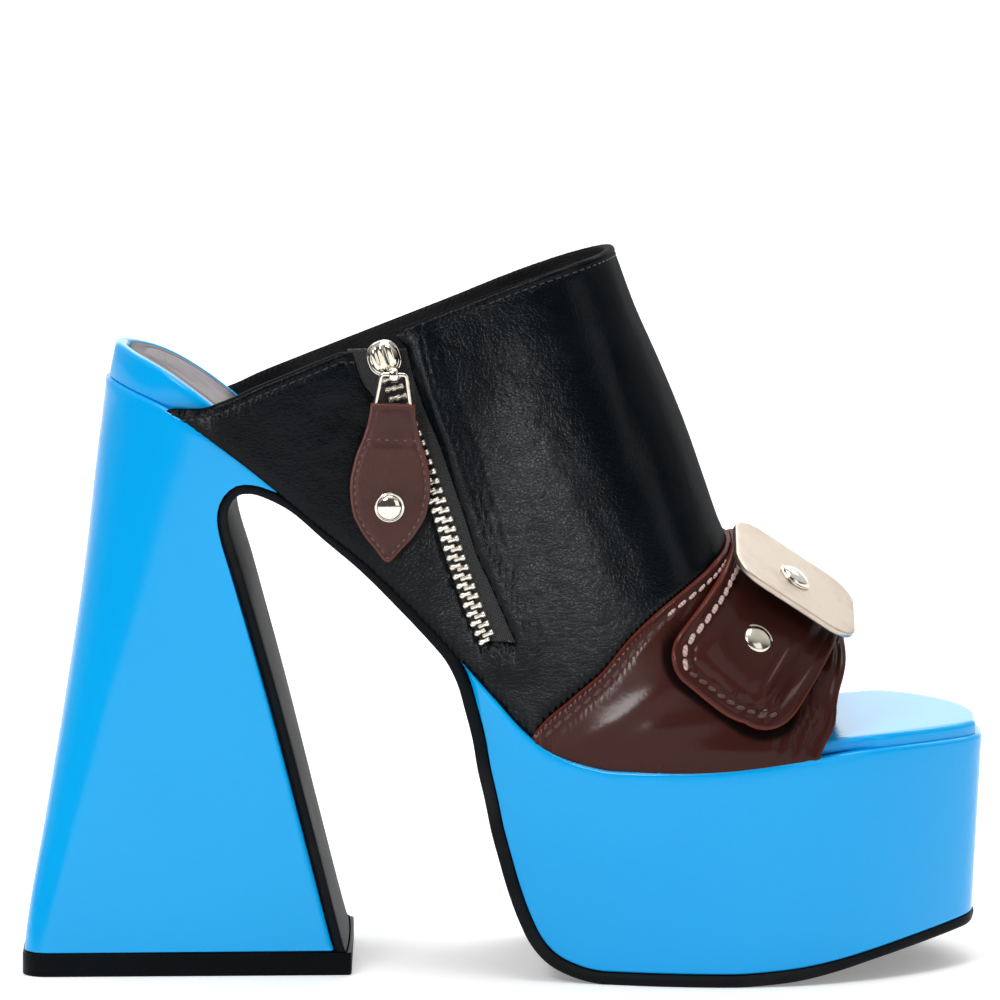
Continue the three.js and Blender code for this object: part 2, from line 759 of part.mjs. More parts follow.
// The belt lies on the strap: a round-ended tongue on the lateral side, run down to the sole on the other
const beltDepth = strapStep + seam;
const beltSkin = skin(...beltReach, beltDepth, beltDepth + beltThickness);
function beltPlace(along36, up36) {
  const x = along36 * Math.cos(ridgePitch) + up36 * Math.sin(ridgePitch);
  const z = up36 * Math.cos(ridgePitch) - along36 * Math.sin(ridgePitch);
  return [x, z];
}
const cornerArc = (centre, from) => range(5).map((t) => {
  const angle = from + (t * Math.PI) / 2;
  const ahead = centre + beltCorner * Math.cos(angle);
  return beltPlace(ahead, beltEnd + beltCorner * (1 + Math.sin(angle)));
});
const tongue = [
  beltPlace(beltBack, high),
  ...cornerArc(beltBack + beltCorner, Math.PI),
  ...cornerArc(beltFront - beltCorner, 1.5 * Math.PI),
  beltPlace(beltFront, high),
];
const band = [[beltBack, high], [beltBack, 0], [beltFront, 0], [beltFront, high]].map((corner) => (
  beltPlace(...corner)
));
const beltRegion = sidePrism(tongue, -farAcross, 0).add(sidePrism(band, 0, farAcross));
const buckleStrap = beltSkin.intersect(overFeather).intersect(beltRegion);

// A frame on the upper's face: x along the ridge towards the toe, z out of the leather
function frameOn(x, turn, depth) {
  const out = upperNormal(x, turn);
  const ahead = new THREE.Vector3(1, 0, 0).addScaledVector(out, -out.x).normalize();
  const across = out.clone().cross(ahead);
  const origin = upperPoint(x, turn).addScaledVector(out, depth);
  return new THREE.Matrix4().makeBasis(ahead, across, out).setPosition(origin);
}

function stud(radius, height) {
  const profile = range(4).map((t) => {
    const angle = (t * Math.PI) / 2;
    const rise = THREE.MathUtils.lerp(studRim, 1, Math.sin(angle));
    return new THREE.Vector2(radius * Math.cos(angle), height * rise);
  });
  profile.at(-1).x = 0;
  const outline = [new THREE.Vector2(0, 0), new THREE.Vector2(radius, 0), ...profile];
  const dome = new THREE.LatheGeometry(outline, 16);
  dome.rotateX(Math.PI / 2);
  return dome;
}

function roundedPlate(length, width, corner, thickness) {
  const a = length / 2 - corner;
  const b = width / 2 - corner;
  const shape = new THREE.Shape();
  shape.absarc(a, b, corner, 0, Math.PI / 2);
  shape.absarc(-a, b, corner, Math.PI / 2, Math.PI);
  shape.absarc(-a, -b, corner, Math.PI, 1.5 * Math.PI);
  shape.absarc(a, -b, corner, 1.5 * Math.PI, 2 * Math.PI);
  return new THREE.ExtrudeGeometry(shape, { depth: thickness, bevelEnabled: false, curveSegments: 6 });
}

const beltTop = beltDepth + beltThickness;
const plateFrame = frameOn(along(plateAt), plateTurn, beltTop + plateLift);
plateFrame.multiply(new THREE.Matrix4().makeRotationY(platePitch));
const plateBody = solidOf(roundedPlate(plateAlong, plateAcross, plateCorner, plateThickness));
const lugShape = new THREE.BoxGeometry(plateThickness, lugWidth, lugDepth);
lugShape.translate(
  plateAlong / 2 - plateThickness / 2,
  -(plateAcross / 2 - plateCorner - lugWidth / 2),
  plateThickness - lugDepth / 2,
);
const plateSolid = plateBody.add(solidOf(lugShape));

const beltStudX = along(beltStud.at);
const beltStudTurn = turnAt(beltStudX, beltStud.rise * seatRise);
const plateStudFrame = plateFrame.clone();
plateStudFrame.multiply(new THREE.Matrix4().makeTranslation(0, 0, plateThickness + seam));
const beltStudFrame = frameOn(beltStudX, beltStudTurn, beltTop + seam);

// Slider: a plate with a dome and an eye for the pull, set along the zip
const sliderX = along(sliderAt.at);
const sliderTurn = turnAt(sliderX, sliderAt.rise * seatRise);
const sliderFrame = frameOn(sliderX, sliderTurn, chainProud + seam);
const zipTop = zipLine[0];
const zipNext = zipLine[1];
const zipWay = Math.atan2((zipNext.at - zipTop.at) * soleLength, (zipTop.rise - zipNext.rise) * seatRise);

const domeRings = [
  { height: 0.4, share: 1 },
  { height: 0.75, share: 0.94 },
  { height: 1, share: 0.62 },
];
const domeRing = (share, height) => range(17).slice(0, -1).map((t) => {
  const angle = t * 2 * Math.PI;
  const x = domeRadius * share * Math.cos(angle);
  return new THREE.Vector3(x, domeRadius * share * Math.sin(angle) + domeRise, height);
});
const sliderDomeSolid = tower([
  domeRing(1, sliderPlate / 2),
  ...domeRings.map((ring) => domeRing(ring.share, ring.height * sliderDome)),
]);
const eyePlace = new THREE.Vector3(
  pivotAhead + pivotDrop * Math.sin(zipWay),
  -pivotDrop * Math.cos(zipWay),
  pivotProud,
);
const eyeRing = (radius, width) => {
  const round = new THREE.CylinderGeometry(radius, radius, width, 16);
  round.rotateZ(Math.PI / 2);
  round.translate(...eyePlace);
  return solidOf(round);
};
const eyeFoot = new THREE.BoxGeometry(eyeWidth, 2 * eyeRadius, pivotProud);
eyeFoot.translate(eyePlace.x, eyePlace.y, pivotProud / 2 + eyeSink);
const sliderBody = roundedPlate(sliderWidth, sliderLength, sliderCorner, sliderPlate).rotateZ(zipWay);
const slider = solidOf(sliderBody)
  .add(sliderDomeSolid)
  .add(eyeRing(eyeRadius, eyeWidth))
  .add(solidOf(eyeFoot))
  .subtract(eyeRing(eyeHole, 2 * eyeWidth));
const pivot = eyePlace.clone().applyMatrix4(sliderFrame);

// Pull: a frame of bars, and a leather leaf whose top is folded round the frame's lower bar
function barFrame(grow) {
  const half = bailBar / 2 + grow;
  const top = bailBar / 2 + grow;
  const foot = -bailLength - bailBar / 2 - grow;
  const outer = new THREE.Shape([
    new THREE.Vector2(-bailTop - grow, top),
    new THREE.Vector2(bailTop + grow, top),
    new THREE.Vector2(bailFoot + grow, foot),
    new THREE.Vector2(-bailFoot - grow, foot),
  ]);
  const hole = new THREE.Path([
    new THREE.Vector2(-bailTop + bailBar + grow, top - bailBar - 2 * grow),
    new THREE.Vector2(-bailFoot + bailBar + grow, foot + bailBar + 2 * grow),
    new THREE.Vector2(bailFoot - bailBar - grow, foot + bailBar + 2 * grow),
    new THREE.Vector2(bailTop - bailBar - grow, top - bailBar - 2 * grow),
  ]);
  outer.holes.push(hole);
  const frame = new THREE.ExtrudeGeometry(outer, { depth: 2 * half, bevelEnabled: false });
  frame.rotateX(Math.PI / 2);
  frame.translate(0, half, 0);
  return solidOf(frame);
}
const pullHalf = through(pullOutline, 'drop', 'half');
const leafDrops = range(16).map((t) => THREE.MathUtils.lerp(tabStart, pullOutline.at(-1).drop, t));
const leafOutline = [
  ...leafDrops.map((drop) => [pullHalf(drop), -drop]),
  [0, -pullTip],
  ...leafDrops.map((drop) => [-pullHalf(drop), -drop]).reverse(),
];
const leaf = sidePrism(leafOutline, -tabThickness / 2, tabThickness / 2);
const foldBox = new THREE.BoxGeometry(2 * pullOutline[0].half, foldThickness, foldLength);
foldBox.translate(0, 0, -tabStart - foldLength / 2);
const pullTab = leaf.add(solidOf(foldBox)).subtract(barFrame(seam));
const pullFrame = new THREE.Matrix4().makeRotationY(pullLean).setPosition(pivot);
const pullStudFrame = pullFrame.clone().multiply(new THREE.Matrix4().makeRotationX(Math.PI / 2));
pullStudFrame.multiply(new THREE.Matrix4().makeTranslation(0, -pullStudDrop, tabThickness / 2 + seam));

// Finishes
function finish(color, roughness, metalness) {
  return new THREE.MeshStandardMaterial({ color, roughness, metalness });
}
const shoe = new THREE.Group();
function place(name, solid, material, frame) {
  const geometry = solid.isBufferGeometry ? solid : geometryOf(solid);
  const mesh = new THREE.Mesh(geometry, material);
  mesh.name = name;
  if (frame) frame.decompose(mesh.position, mesh.quaternion, mesh.scale);
  shoe.add(mesh);
}

place('outsole', outsole, finish(0x2a2428, 0.55, 0));
place('platform', platform, finish(0x2ba8f0, 0.12, 0));
place('heel_block', heelBlock, finish(0x2ba8f0, 0.12, 0));
place('top_lift', topLift, finish(0x14161a, 0.6, 0));
place('insole_board', insoleBoard, finish(0x2ba8f0, 0.15, 0));
place('heel_sock', heelSock, finish(0x4b4448, 0.4, 0));
place('vamp', vamp, finish(0x191c20, 0.42, 0));
place('toe_strap', toeStrap, finish(0x4b2a26, 0.18, 0));
place('buckle_strap', buckleStrap, finish(0x4b2a26, 0.18, 0));
place('buckle_plate', plateSolid, finish(0xebdcc8, 0.25, 1), plateFrame);
place('plate_stud', stud(studRadius, studHeight), finish(0xe0dccf, 0.15, 1), plateStudFrame);
place('belt_stud', stud(studRadius, studHeight), finish(0xe0dccf, 0.15, 1), beltStudFrame);
place('zip_tape', zipTape, finish(0x16181c, 0.8, 0));
place('zip_chain', zipChain, finish(0xd8d2c4, 0.3, 1));
place('zip_slider', slider, finish(0xe6e1d2, 0.2, 1), sliderFrame);
place('pull_bail', barFrame(0), finish(0xe6e1d2, 0.2, 1), pullFrame);
place('pull_tab', pullTab, finish(0x552d26, 0.4, 0), pullFrame);
place('pull_stud', stud(pullStudRadius, studHeight), finish(0xe0dccf, 0.15, 1), pullStudFrame);

// The shoe stands with its box centred on Y
const middle = new THREE.Box3().setFromObject(shoe, true).getCenter(new THREE.Vector3());
shoe.children.forEach((mesh) => {
  mesh.position.y -= middle.y;
});

export default shoe;
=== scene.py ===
import math

import bmesh
import bpy
import numpy as np
from mathutils import Matrix, Vector
from mathutils.geometry import delaunay_2d_cdt
from mathutils.kdtree import KDTree


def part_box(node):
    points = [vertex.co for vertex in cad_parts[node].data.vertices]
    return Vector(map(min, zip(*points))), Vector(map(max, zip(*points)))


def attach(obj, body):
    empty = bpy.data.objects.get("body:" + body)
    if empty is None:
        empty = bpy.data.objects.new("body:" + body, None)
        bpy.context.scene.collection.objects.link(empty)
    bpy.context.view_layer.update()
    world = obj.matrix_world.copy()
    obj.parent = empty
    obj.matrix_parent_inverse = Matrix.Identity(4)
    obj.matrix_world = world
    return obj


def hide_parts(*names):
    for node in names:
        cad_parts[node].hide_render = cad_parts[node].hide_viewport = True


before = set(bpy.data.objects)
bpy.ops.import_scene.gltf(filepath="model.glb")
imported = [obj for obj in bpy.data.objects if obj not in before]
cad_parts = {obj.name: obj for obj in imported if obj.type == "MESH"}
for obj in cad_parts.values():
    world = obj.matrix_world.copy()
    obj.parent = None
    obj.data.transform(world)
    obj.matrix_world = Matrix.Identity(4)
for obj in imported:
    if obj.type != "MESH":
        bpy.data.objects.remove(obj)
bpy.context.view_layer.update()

mm = 0.001

# Driving sizes of the shoe in millimetres: the toe points along +X, the outer side faces -Y
shoe = dict(
    overallLength=239.5,
    soleLength=218.25,
    ballHalfWidth=47.5,
    seatRise=150,
    ridgeRise=225,
    collarRise=183,
    collarDrop=3.5,
    ankleHalfWidth=28,
    seam=0.3,
    vampWall=2,
    strapStep=0.8,
    beltThickness=2.1,
    outsoleSheet=3,
    breastSheet=2.2,
    liftThickness=5.7,
    seatBoard=8.4,
    toeBoard=3,
)
seam = shoe["seam"]
toeTip = shoe["overallLength"] / 2
seatBack = toeTip - shoe["soleLength"]
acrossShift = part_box("platform")[0][1] / mm + shoe["ballHalfWidth"]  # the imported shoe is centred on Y

# Half widths of the sole, lateral then medial, as shares of the ball's half width
plan = [
    (0, 0.05, 0.05), (0.0023, 0.107, 0.107), (0.0092, 0.213, 0.213), (0.0206, 0.312, 0.312),
    (0.0367, 0.404, 0.404), (0.06, 0.49, 0.49), (0.092, 0.566, 0.566), (0.128, 0.606, 0.606),
    (0.2, 0.606, 0.604), (0.29, 0.6, 0.59), (0.36, 0.63, 0.6), (0.43, 0.705, 0.67),
    (0.5, 0.81, 0.785), (0.57, 0.905, 0.89), (0.64, 0.975, 0.965), (0.7, 1, 1),
    (0.772, 0.966, 0.992), (0.813, 0.912, 0.962), (0.864, 0.804, 0.89), (0.914, 0.645, 0.786),
    (0.955, 0.474, 0.62), (0.98, 0.347, 0.44), (0.992, 0.263, 0.27), (0.998, 0.19, 0.14),
    (1, 0.13, 0.06),
]
featherLine = [
    (0, 0.984), (0.014, 0.977), (0.03, 0.969), (0.064, 0.95), (0.104, 0.917), (0.15, 0.869),
    (0.2, 0.81), (0.242, 0.758), (0.288, 0.704), (0.333, 0.642), (0.379, 0.573), (0.41, 0.521),
    (0.442, 0.47), (0.474, 0.42), (0.5, 0.391), (0.535, 0.371), (0.58, 0.36), (0.64, 0.36),
    (0.7, 0.364), (0.81, 0.381), (0.9, 0.391), (1, 0.388),
]
ridgeLine = [
    (0, 1), (0.42, 0.99), (0.5, 0.93), (0.575, 0.8), (0.601, 0.733), (0.631, 0.667), (0.66, 0.598),
    (0.685, 0.528), (0.7, 0.487), (0.72, 0.452), (0.75, 0.428), (0.788, 0.404), (0.84, 0.368), (0.9, 0.34),
]
fullnessLine = [(0, 2.5), (0.5, 2.6), (0.62, 2.6), (0.75, 2.25), (0.9, 2.2)]
proudLine = [(0, 1), (0.1, 0.9), (0.35, -0.9), (0.6, -1.5), (1, -1.5)]
collarLine = [
    (0.05, 0.777), (0.104, 0.778), (0.123, 0.784), (0.147, 0.795), (0.168, 0.807), (0.219, 0.832),
    (0.39, 0.914), (0.482, 0.957), (0.562, 0.988), (0.6, 1),
]
strapSeam = [
    (0.47, 0.2), (0.482, 0.272), (0.527, 0.319), (0.561, 0.349), (0.594, 0.389), (0.628, 0.421),
    (0.662, 0.447), (0.69, 0.466), (0.715, 0.482), (0.73, 0.6),
]
strapFront = [(0.2, 0.8), (0.253, 0.811), (0.298, 0.829), (0.36, 0.84), (0.6, 0.842)]  # rise, then at
soleRun = [
    (0.992, 0.083), (0.98, 0.081), (0.955, 0.075), (0.914, 0.064), (0.873, 0.051), (0.836, 0.039),
    (0.795, 0.029), (0.754, 0.023), (0.718, 0.02), (0.66, 0.02), (0.6, 0.02), (0.565, 0.02),
    (0.537, 0.028), (0.512, 0.045), (0.495, 0.071), (0.482, 0.108), (0.47, 0.155), (0.46, 0.205),
    (0.451, 0.253), (0.444, 0.303), (0.436, 0.353), (0.43, 0.404), (0.421, 0.455), (0.412, 0.5),
    (0.398, 0.54),
]
archCrown = [
    (0.182, 0.815), (0.165, 0.821), (0.149, 0.819), (0.136, 0.804), (0.129, 0.782), (0.128, 0.762),
    (0.132, 0.73), (0.143, 0.677), (0.154, 0.623), (0.186, 0.459), (0.231, 0.206), (0.26, 0.042),
    (0.269, 0),
]
# Heel block: rise, back, half width at the back, at the front, corner length and corner width
heelRings = [
    (0, 1, 0.64, 0.58, 6, 6), (0.064, 0.965, 0.632, 0.575, 6.5, 7),
    (0.265, 0.73, 0.61, 0.565, 9, 11), (0.468, 0.494, 0.594, 0.56, 13, 16),
    (0.67, 0.282, 0.59, 0.57, 19, 21), (0.847, 0.141, 0.597, 0.59, 26, 26),
    (0.97, 0.035, 0.606, 0.606, 31, 28.5), (1.05, 0, 0.606, 0.606, 32, 28.7),
]
heelBulge = 2.3
bulgeLine = [(0.04, 0.25), (0.3, 0.5), (0.6, 0.85), (0.7, 1), (0.76, 0.9), (0.8, 0.25), (0.812, 0)]
# Zip: rise, centre, half widths of the opening behind and ahead
zipLine = [
    (0.565, 0.4348, 2.2, 6.5), (0.604, 0.4225, 2.4, 6.6), (0.661, 0.4082, 2.6, 6), (0.713, 0.3959, 2.8, 5.1),
    (0.773, 0.3826, 2.5, 5.2), (0.83, 0.3684, 2.8, 5.3), (0.887, 0.3537, 3.2, 5.6), (0.944, 0.3386, 4.6, 5.3),
    (1, 0.324, 7.5, 5.6), (1.05, 0.3125, 7.4, 6.3),
]


def along(share):
    return seatBack + share * shoe["soleLength"]


def through(rows, column=1):
    # a smooth curve through two columns of a table, with no overshoot between rows
    xs = np.array([row[0] for row in rows], float)
    ys = np.array([row[column] for row in rows], float)
    steps = np.diff(ys) / np.diff(xs)
    before = np.concatenate([steps[:1], steps])
    after = np.concatenate([steps, steps[-1:]])
    both = np.where(before + after == 0, 1, before + after)
    slopes = np.where(before * after <= 0, 0, 2 * before * after / both)

    def curve(x):
        place = np.clip(x, xs[0], xs[-1])
        low = np.clip(np.searchsorted(xs, place) - 1, 0, len(xs) - 2)
        span = xs[low + 1] - xs[low]
        t = (place - xs[low]) / span
        s = 1 - t
        ends = ys[low] * (1 + 2 * t) * s * s + ys[low + 1] * (3 - 2 * t) * t * t
        return ends + span * t * s * (slopes[low] * s - slopes[low + 1] * t)

    return curve


def curveAlong(rows, column, size):
    curve = through(rows, column)
    return lambda x: size * curve((np.asarray(x, float) - seatBack) / shoe["soleLength"])


lateral = curveAlong(plan, 1, shoe["ballHalfWidth"])
medial = curveAlong(plan, 2, shoe["ballHalfWidth"])
feather = curveAlong(featherLine, 1, shoe["seatRise"])
ridge = curveAlong(ridgeLine, 1, shoe["ridgeRise"])
fullness = curveAlong(fullnessLine, 1, 1)
proud = curveAlong(proudLine, 1, 1)
collar = curveAlong(collarLine, 1, shoe["collarRise"])
seamHeight = curveAlong(strapSeam, 1, shoe["ridgeRise"])
frontShare = through(strapFront)


def smooth(x, low, high):
    t = np.clip((np.asarray(x, float) - low) / (high - low), 0, 1)
    return t * t * (3 - 2 * t)


def bump(x, middle, half):
    return np.exp(-((np.asarray(x, float) - middle) / half) ** 2)


# Meshes

def addObject(name, data):
    added = bpy.data.objects.new(name, data)
    bpy.context.scene.collection.objects.link(added)
    return added


def newPiece(name, points, faces, materials, body="shoe", slots=None, attributes=None):
    points = np.asarray(points, float).copy()
    points[:, 1] += acrossShift
    mesh = bpy.data.meshes.new(name)
    mesh.from_pydata((points * mm).tolist(), [], [tuple(int(i) for i in face) for face in faces])
    for material in materials:
        mesh.materials.append(material)
    if slots is not None:
        mesh.polygons.foreach_set("material_index", np.asarray(slots, np.int32))
    for key, values in (attributes or {}).items():
        layer = mesh.attributes.new(key, "FLOAT", "POINT")
        layer.data.foreach_set("value", np.asarray(values, np.float32))
    mesh.polygons.foreach_set("use_smooth", [True] * len(mesh.polygons))
    mesh.validate()
    mesh.update()
    piece = addObject(name, mesh)
    faceOut(piece)
    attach(piece, body)
    return piece


def faceOut(piece):
    # turns every face outward
    shape = bmesh.new()
    shape.from_mesh(piece.data)
    bmesh.ops.recalc_face_normals(shape, faces=shape.faces)
    if shape.calc_volume(signed=True) < 0:
        bmesh.ops.reverse_faces(shape, faces=shape.faces)
    shape.to_mesh(piece.data)
    shape.free()


def fullTurn(count, start=0.0):
    return [2 * math.pi * (k + start) / count for k in range(count)]


def ringFaces(ringCount, around, first=0):
    faces = []
    for i in range(ringCount - 1):
        for j in range(around):
            a = first + i * around + j
            b = first + i * around + (j + 1) % around
            faces.append((a, b, b + around, a + around))
    return faces


def cappedFaces(ringCount, around):
    last = (ringCount - 1) * around
    return ringFaces(ringCount, around) + [tuple(range(around)), tuple(range(last, last + around))]


def loopedFaces(ringCount, around):
    # faces between rings of which the last joins the first
    faces = []
    for i in range(ringCount):
        following = ((i + 1) % ringCount) * around
        for j in range(around):
            k = (j + 1) % around
            faces.append((i * around + j, i * around + k, following + k, following + j))
    return faces


def acrossFaces(first, around):
    # fills a ring whose point j faces its point around - 1 - j
    last = first + around - 1
    return [(first + j, first + j + 1, last - 1 - j, last - j) for j in range(around // 2 - 1)]


def stackedRings(rings):
    # a closed solid from rings of paired points, filled across at both ends
    around = len(rings[0])
    faces = ringFaces(len(rings), around)
    faces += acrossFaces(0, around)
    faces += acrossFaces((len(rings) - 1) * around, around)
    return np.concatenate(rings), faces


def lathe(profile, segments=40):
    # radius and height pairs turned about Z, closed at both ends on the axis
    points = [(0, 0, profile[0][1])]
    for radius, height in profile:
        for angle in fullTurn(segments):
            points.append((radius * math.cos(angle), radius * math.sin(angle), height))
    points.append((0, 0, profile[-1][1]))
    faces = ringFaces(len(profile), segments, first=1)
    last = 1 + (len(profile) - 1) * segments
    for k in range(segments):
        faces.append((0, 1 + (k + 1) % segments, 1 + k))
        faces.append((len(points) - 1, last + k, last + (k + 1) % segments))
    return np.array(points, float), faces


def tube(path, radius, sides=12):
    # a closed tube round a closed path in the XZ plane
    path = np.asarray(path, float)
    ahead = np.roll(path, -1, 0) - np.roll(path, 1, 0)
    ahead /= np.linalg.norm(ahead, axis=1)[:, None]
    across = np.array([0.0, 1.0, 0.0])
    out = np.cross(ahead, across)
    ways = [math.cos(angle) * out + math.sin(angle) * across for angle in fullTurn(sides)]
    points = np.stack([path + radius * way for way in ways], 1).reshape(-1, 3)
    return points, loopedFaces(len(path), sides)


def lengthAlong(points):
    return np.concatenate([[0], np.cumsum(np.linalg.norm(np.diff(points, axis=0), axis=1))])


def placed(points, matrix):
    rotation = np.array(matrix.to_3x3())
    return np.asarray(points, float) @ rotation.T + np.array(matrix.translation)


def joined(parts):
    points = []
    faces = []
    count = 0
    for partPoints, partFaces in parts:
        points.append(np.asarray(partPoints, float))
        faces += [tuple(i + count for i in face) for face in partFaces]
        count += len(partPoints)
    return np.concatenate(points), faces


# Camera, floor and lights

studio = dict(
    distance=3.5,
    elevation=8,
    target=(-0.00075, 0, 0.1157),
    lens=504,
    sensor=36,
    clipEnd=100,
    floorSize=14,
    floorColor=(0.96, 0.96, 0.962),
    floorRoughness=0.85,
    floorGlow=0.24,
    lampAim=(0, 0, 0.08),
    skyAxis=(0, 0.6, 0.9),
    skyRange=(0.05, 0.65, 0.08, 0.72),  # shares of the axis, then the strengths there
    behindRange=(0.72, 0.96, 0, 0.95),
)
# Lamps: place, width and height, power, and whether only the leathers take its light
lamps = dict(
    key=((-0.9, -1.5, 1.7), (0.7, 0.7), 19.5, False),
    front=((-1.04, -1.88, 0.22), (0.34, 0.34), 12, True),
    side=((-1.75, -1.2, 0.34), (0.3, 0.5), 11, True),
    fill=((1.5, -1.6, 0.9), (1.3, 1.3), 6.5, False),
    rim=((0.5, 1.4, 1.5), (1.6, 0.6), 12, False),
    top=((0.0, -0.1, 1.9), (0.9, 0.9), 12, False),
)
leatherPieces = bpy.data.collections.new("leatherPieces")


def buildStudio():
    scene = bpy.context.scene
    scene.view_settings.view_transform = "Standard"  # the photograph's own plain contrast
    elevation = math.radians(studio["elevation"])
    toEye = Vector((0, -math.cos(elevation), math.sin(elevation)))
    data = bpy.data.cameras.new("camera")
    data.lens = studio["lens"]
    data.sensor_width = studio["sensor"]
    data.clip_end = studio["clipEnd"]
    camera = bpy.data.objects.new("camera", data)
    camera.location = Vector(studio["target"]) + studio["distance"] * toEye
    camera.rotation_euler = (math.pi / 2 - elevation, 0, 0)
    scene.collection.objects.link(camera)
    scene.camera = camera

    half = studio["floorSize"] / 2
    corners = [(-half, -half, 0), (half, -half, 0), (half, half, 0), (-half, half, 0)]
    mesh = bpy.data.meshes.new("floor")
    mesh.from_pydata(corners, [], [(0, 1, 2, 3)])
    paper, _, _ = startMaterial(
        "floorPaper", Base_Color=studio["floorColor"], Roughness=studio["floorRoughness"],
        Emission_Color=(1, 1, 1), Emission_Strength=studio["floorGlow"],
    )
    mesh.materials.append(paper)
    floor = bpy.data.objects.new("floor", mesh)
    scene.collection.objects.link(floor)

    aim = Vector(studio["lampAim"])
    for name, (spot, size, power, leathersAlone) in lamps.items():
        light = bpy.data.lights.new(name, "AREA")
        light.shape = "RECTANGLE"
        light.size, light.size_y = size
        light.energy = power
        lamp = bpy.data.objects.new(name, light)
        lamp.location = spot
        lamp.rotation_euler = (aim - Vector(spot)).to_track_quat("-Z", "Y").to_euler()
        scene.collection.objects.link(lamp)
        if leathersAlone:
            lamp.light_linking.receiver_collection = leatherPieces

    world = bpy.data.worlds.new("studio")
    scene.world = world
    world.use_nodes = True
    tree = world.node_tree
    tree.nodes.clear()
    place = addNode(tree, "ShaderNodeTexCoord").outputs["Generated"]
    away = addNode(tree, "ShaderNodeVectorMath", {"operation": "DOT_PRODUCT"})
    feed(tree, away.inputs[0], place)
    feed(tree, away.inputs[1], studio["skyAxis"])
    sky = rangeNode(tree, away.outputs["Value"], *studio["skyRange"])
    split = addNode(tree, "ShaderNodeSeparateXYZ", Vector=place)
    behind = rangeNode(tree, split.outputs["Y"], *studio["behindRange"])
    strength = mathNode(tree, "ADD", sky, behind)
    background = addNode(tree, "ShaderNodeBackground", Color=(1, 1, 1), Strength=strength)
    addNode(tree, "ShaderNodeOutputWorld", Surface=background.outputs[0])


# Shader groups and materials

def linear(red, green, blue):
    # a display colour of 0 to 255 as the linear one that a shader takes
    shares = (value / 255 for value in (red, green, blue))
    return tuple(share / 12.92 if share <= 0.04045 else ((share + 0.055) / 1.055) ** 2.4 for share in shares)


def feed(tree, socket, value):
    # a socket takes a link from another socket, or a value of its own
    if isinstance(value, bpy.types.NodeSocket):
        tree.links.new(value, socket)
    elif socket.type == "RGBA":
        socket.default_value = (*value, 1)
    else:
        socket.default_value = value


def setSockets(tree, node, **values):
    for label, value in values.items():
        feed(tree, node.inputs[label.replace("_", " ")], value)


def addNode(tree, kind, settings=None, **values):
    node = tree.nodes.new(kind)
    for key, value in (settings or {}).items():
        setattr(node, key, value)
    setSockets(tree, node, **values)
    return node


def mathNode(tree, operation, *values):
    node = addNode(tree, "ShaderNodeMath", {"operation": operation})
    for socket, value in zip(node.inputs, values):
        feed(tree, socket, value)
    return node.outputs[0]


def mixColor(tree, factor, first, second):
    node = addNode(tree, "ShaderNodeMix", {"data_type": "RGBA"})
    for place, value in ((0, factor), (6, first), (7, second)):
        feed(tree, node.inputs[place], value)
    return node.outputs[2]


def rangeNode(tree, value, fromMin, fromMax, toMin=0.0, toMax=1.0):
    node = addNode(
        tree, "ShaderNodeMapRange", {"interpolation_type": "SMOOTHSTEP"},
        Value=value, From_Min=fromMin, From_Max=fromMax, To_Min=toMin, To_Max=toMax,
    )
    return node.outputs["Result"]


def noiseNode(tree, vector, scale, detail=3.0, roughness=0.5):
    node = addNode(tree, "ShaderNodeTexNoise", Vector=vector, Scale=scale, Detail=detail, Roughness=roughness)
    return node.outputs["Fac"]


def objectPlace(tree, turn=None, scale=(1, 1, 1)):
    # the object's own coordinates, turned and stretched if asked
    place = addNode(tree, "ShaderNodeTexCoord").outputs["Object"]
    if turn is None:
        return place
    return addNode(tree, "ShaderNodeMapping", Vector=place, Rotation=turn, Scale=scale).outputs[0]


def storedValue(tree, name):
    # a value stored on the mesh, such as the distance in millimetres from the piece's cut edge
    return addNode(tree, "ShaderNodeAttribute", {"attribute_name": name}).outputs["Fac"]


def newGroup(name, inputs, outputs):
    group = bpy.data.node_groups.new(name, "ShaderNodeTree")
    for label, value in inputs.items():
        socket = group.interface.new_socket(label, in_out="INPUT", socket_type="NodeSocketFloat")
        socket.default_value = value
    for label in outputs:
        group.interface.new_socket(label, in_out="OUTPUT", socket_type="NodeSocketFloat")
    entry = group.nodes.new("NodeGroupInput")
    leave = group.nodes.new("NodeGroupOutput")
    return group, entry.outputs, leave


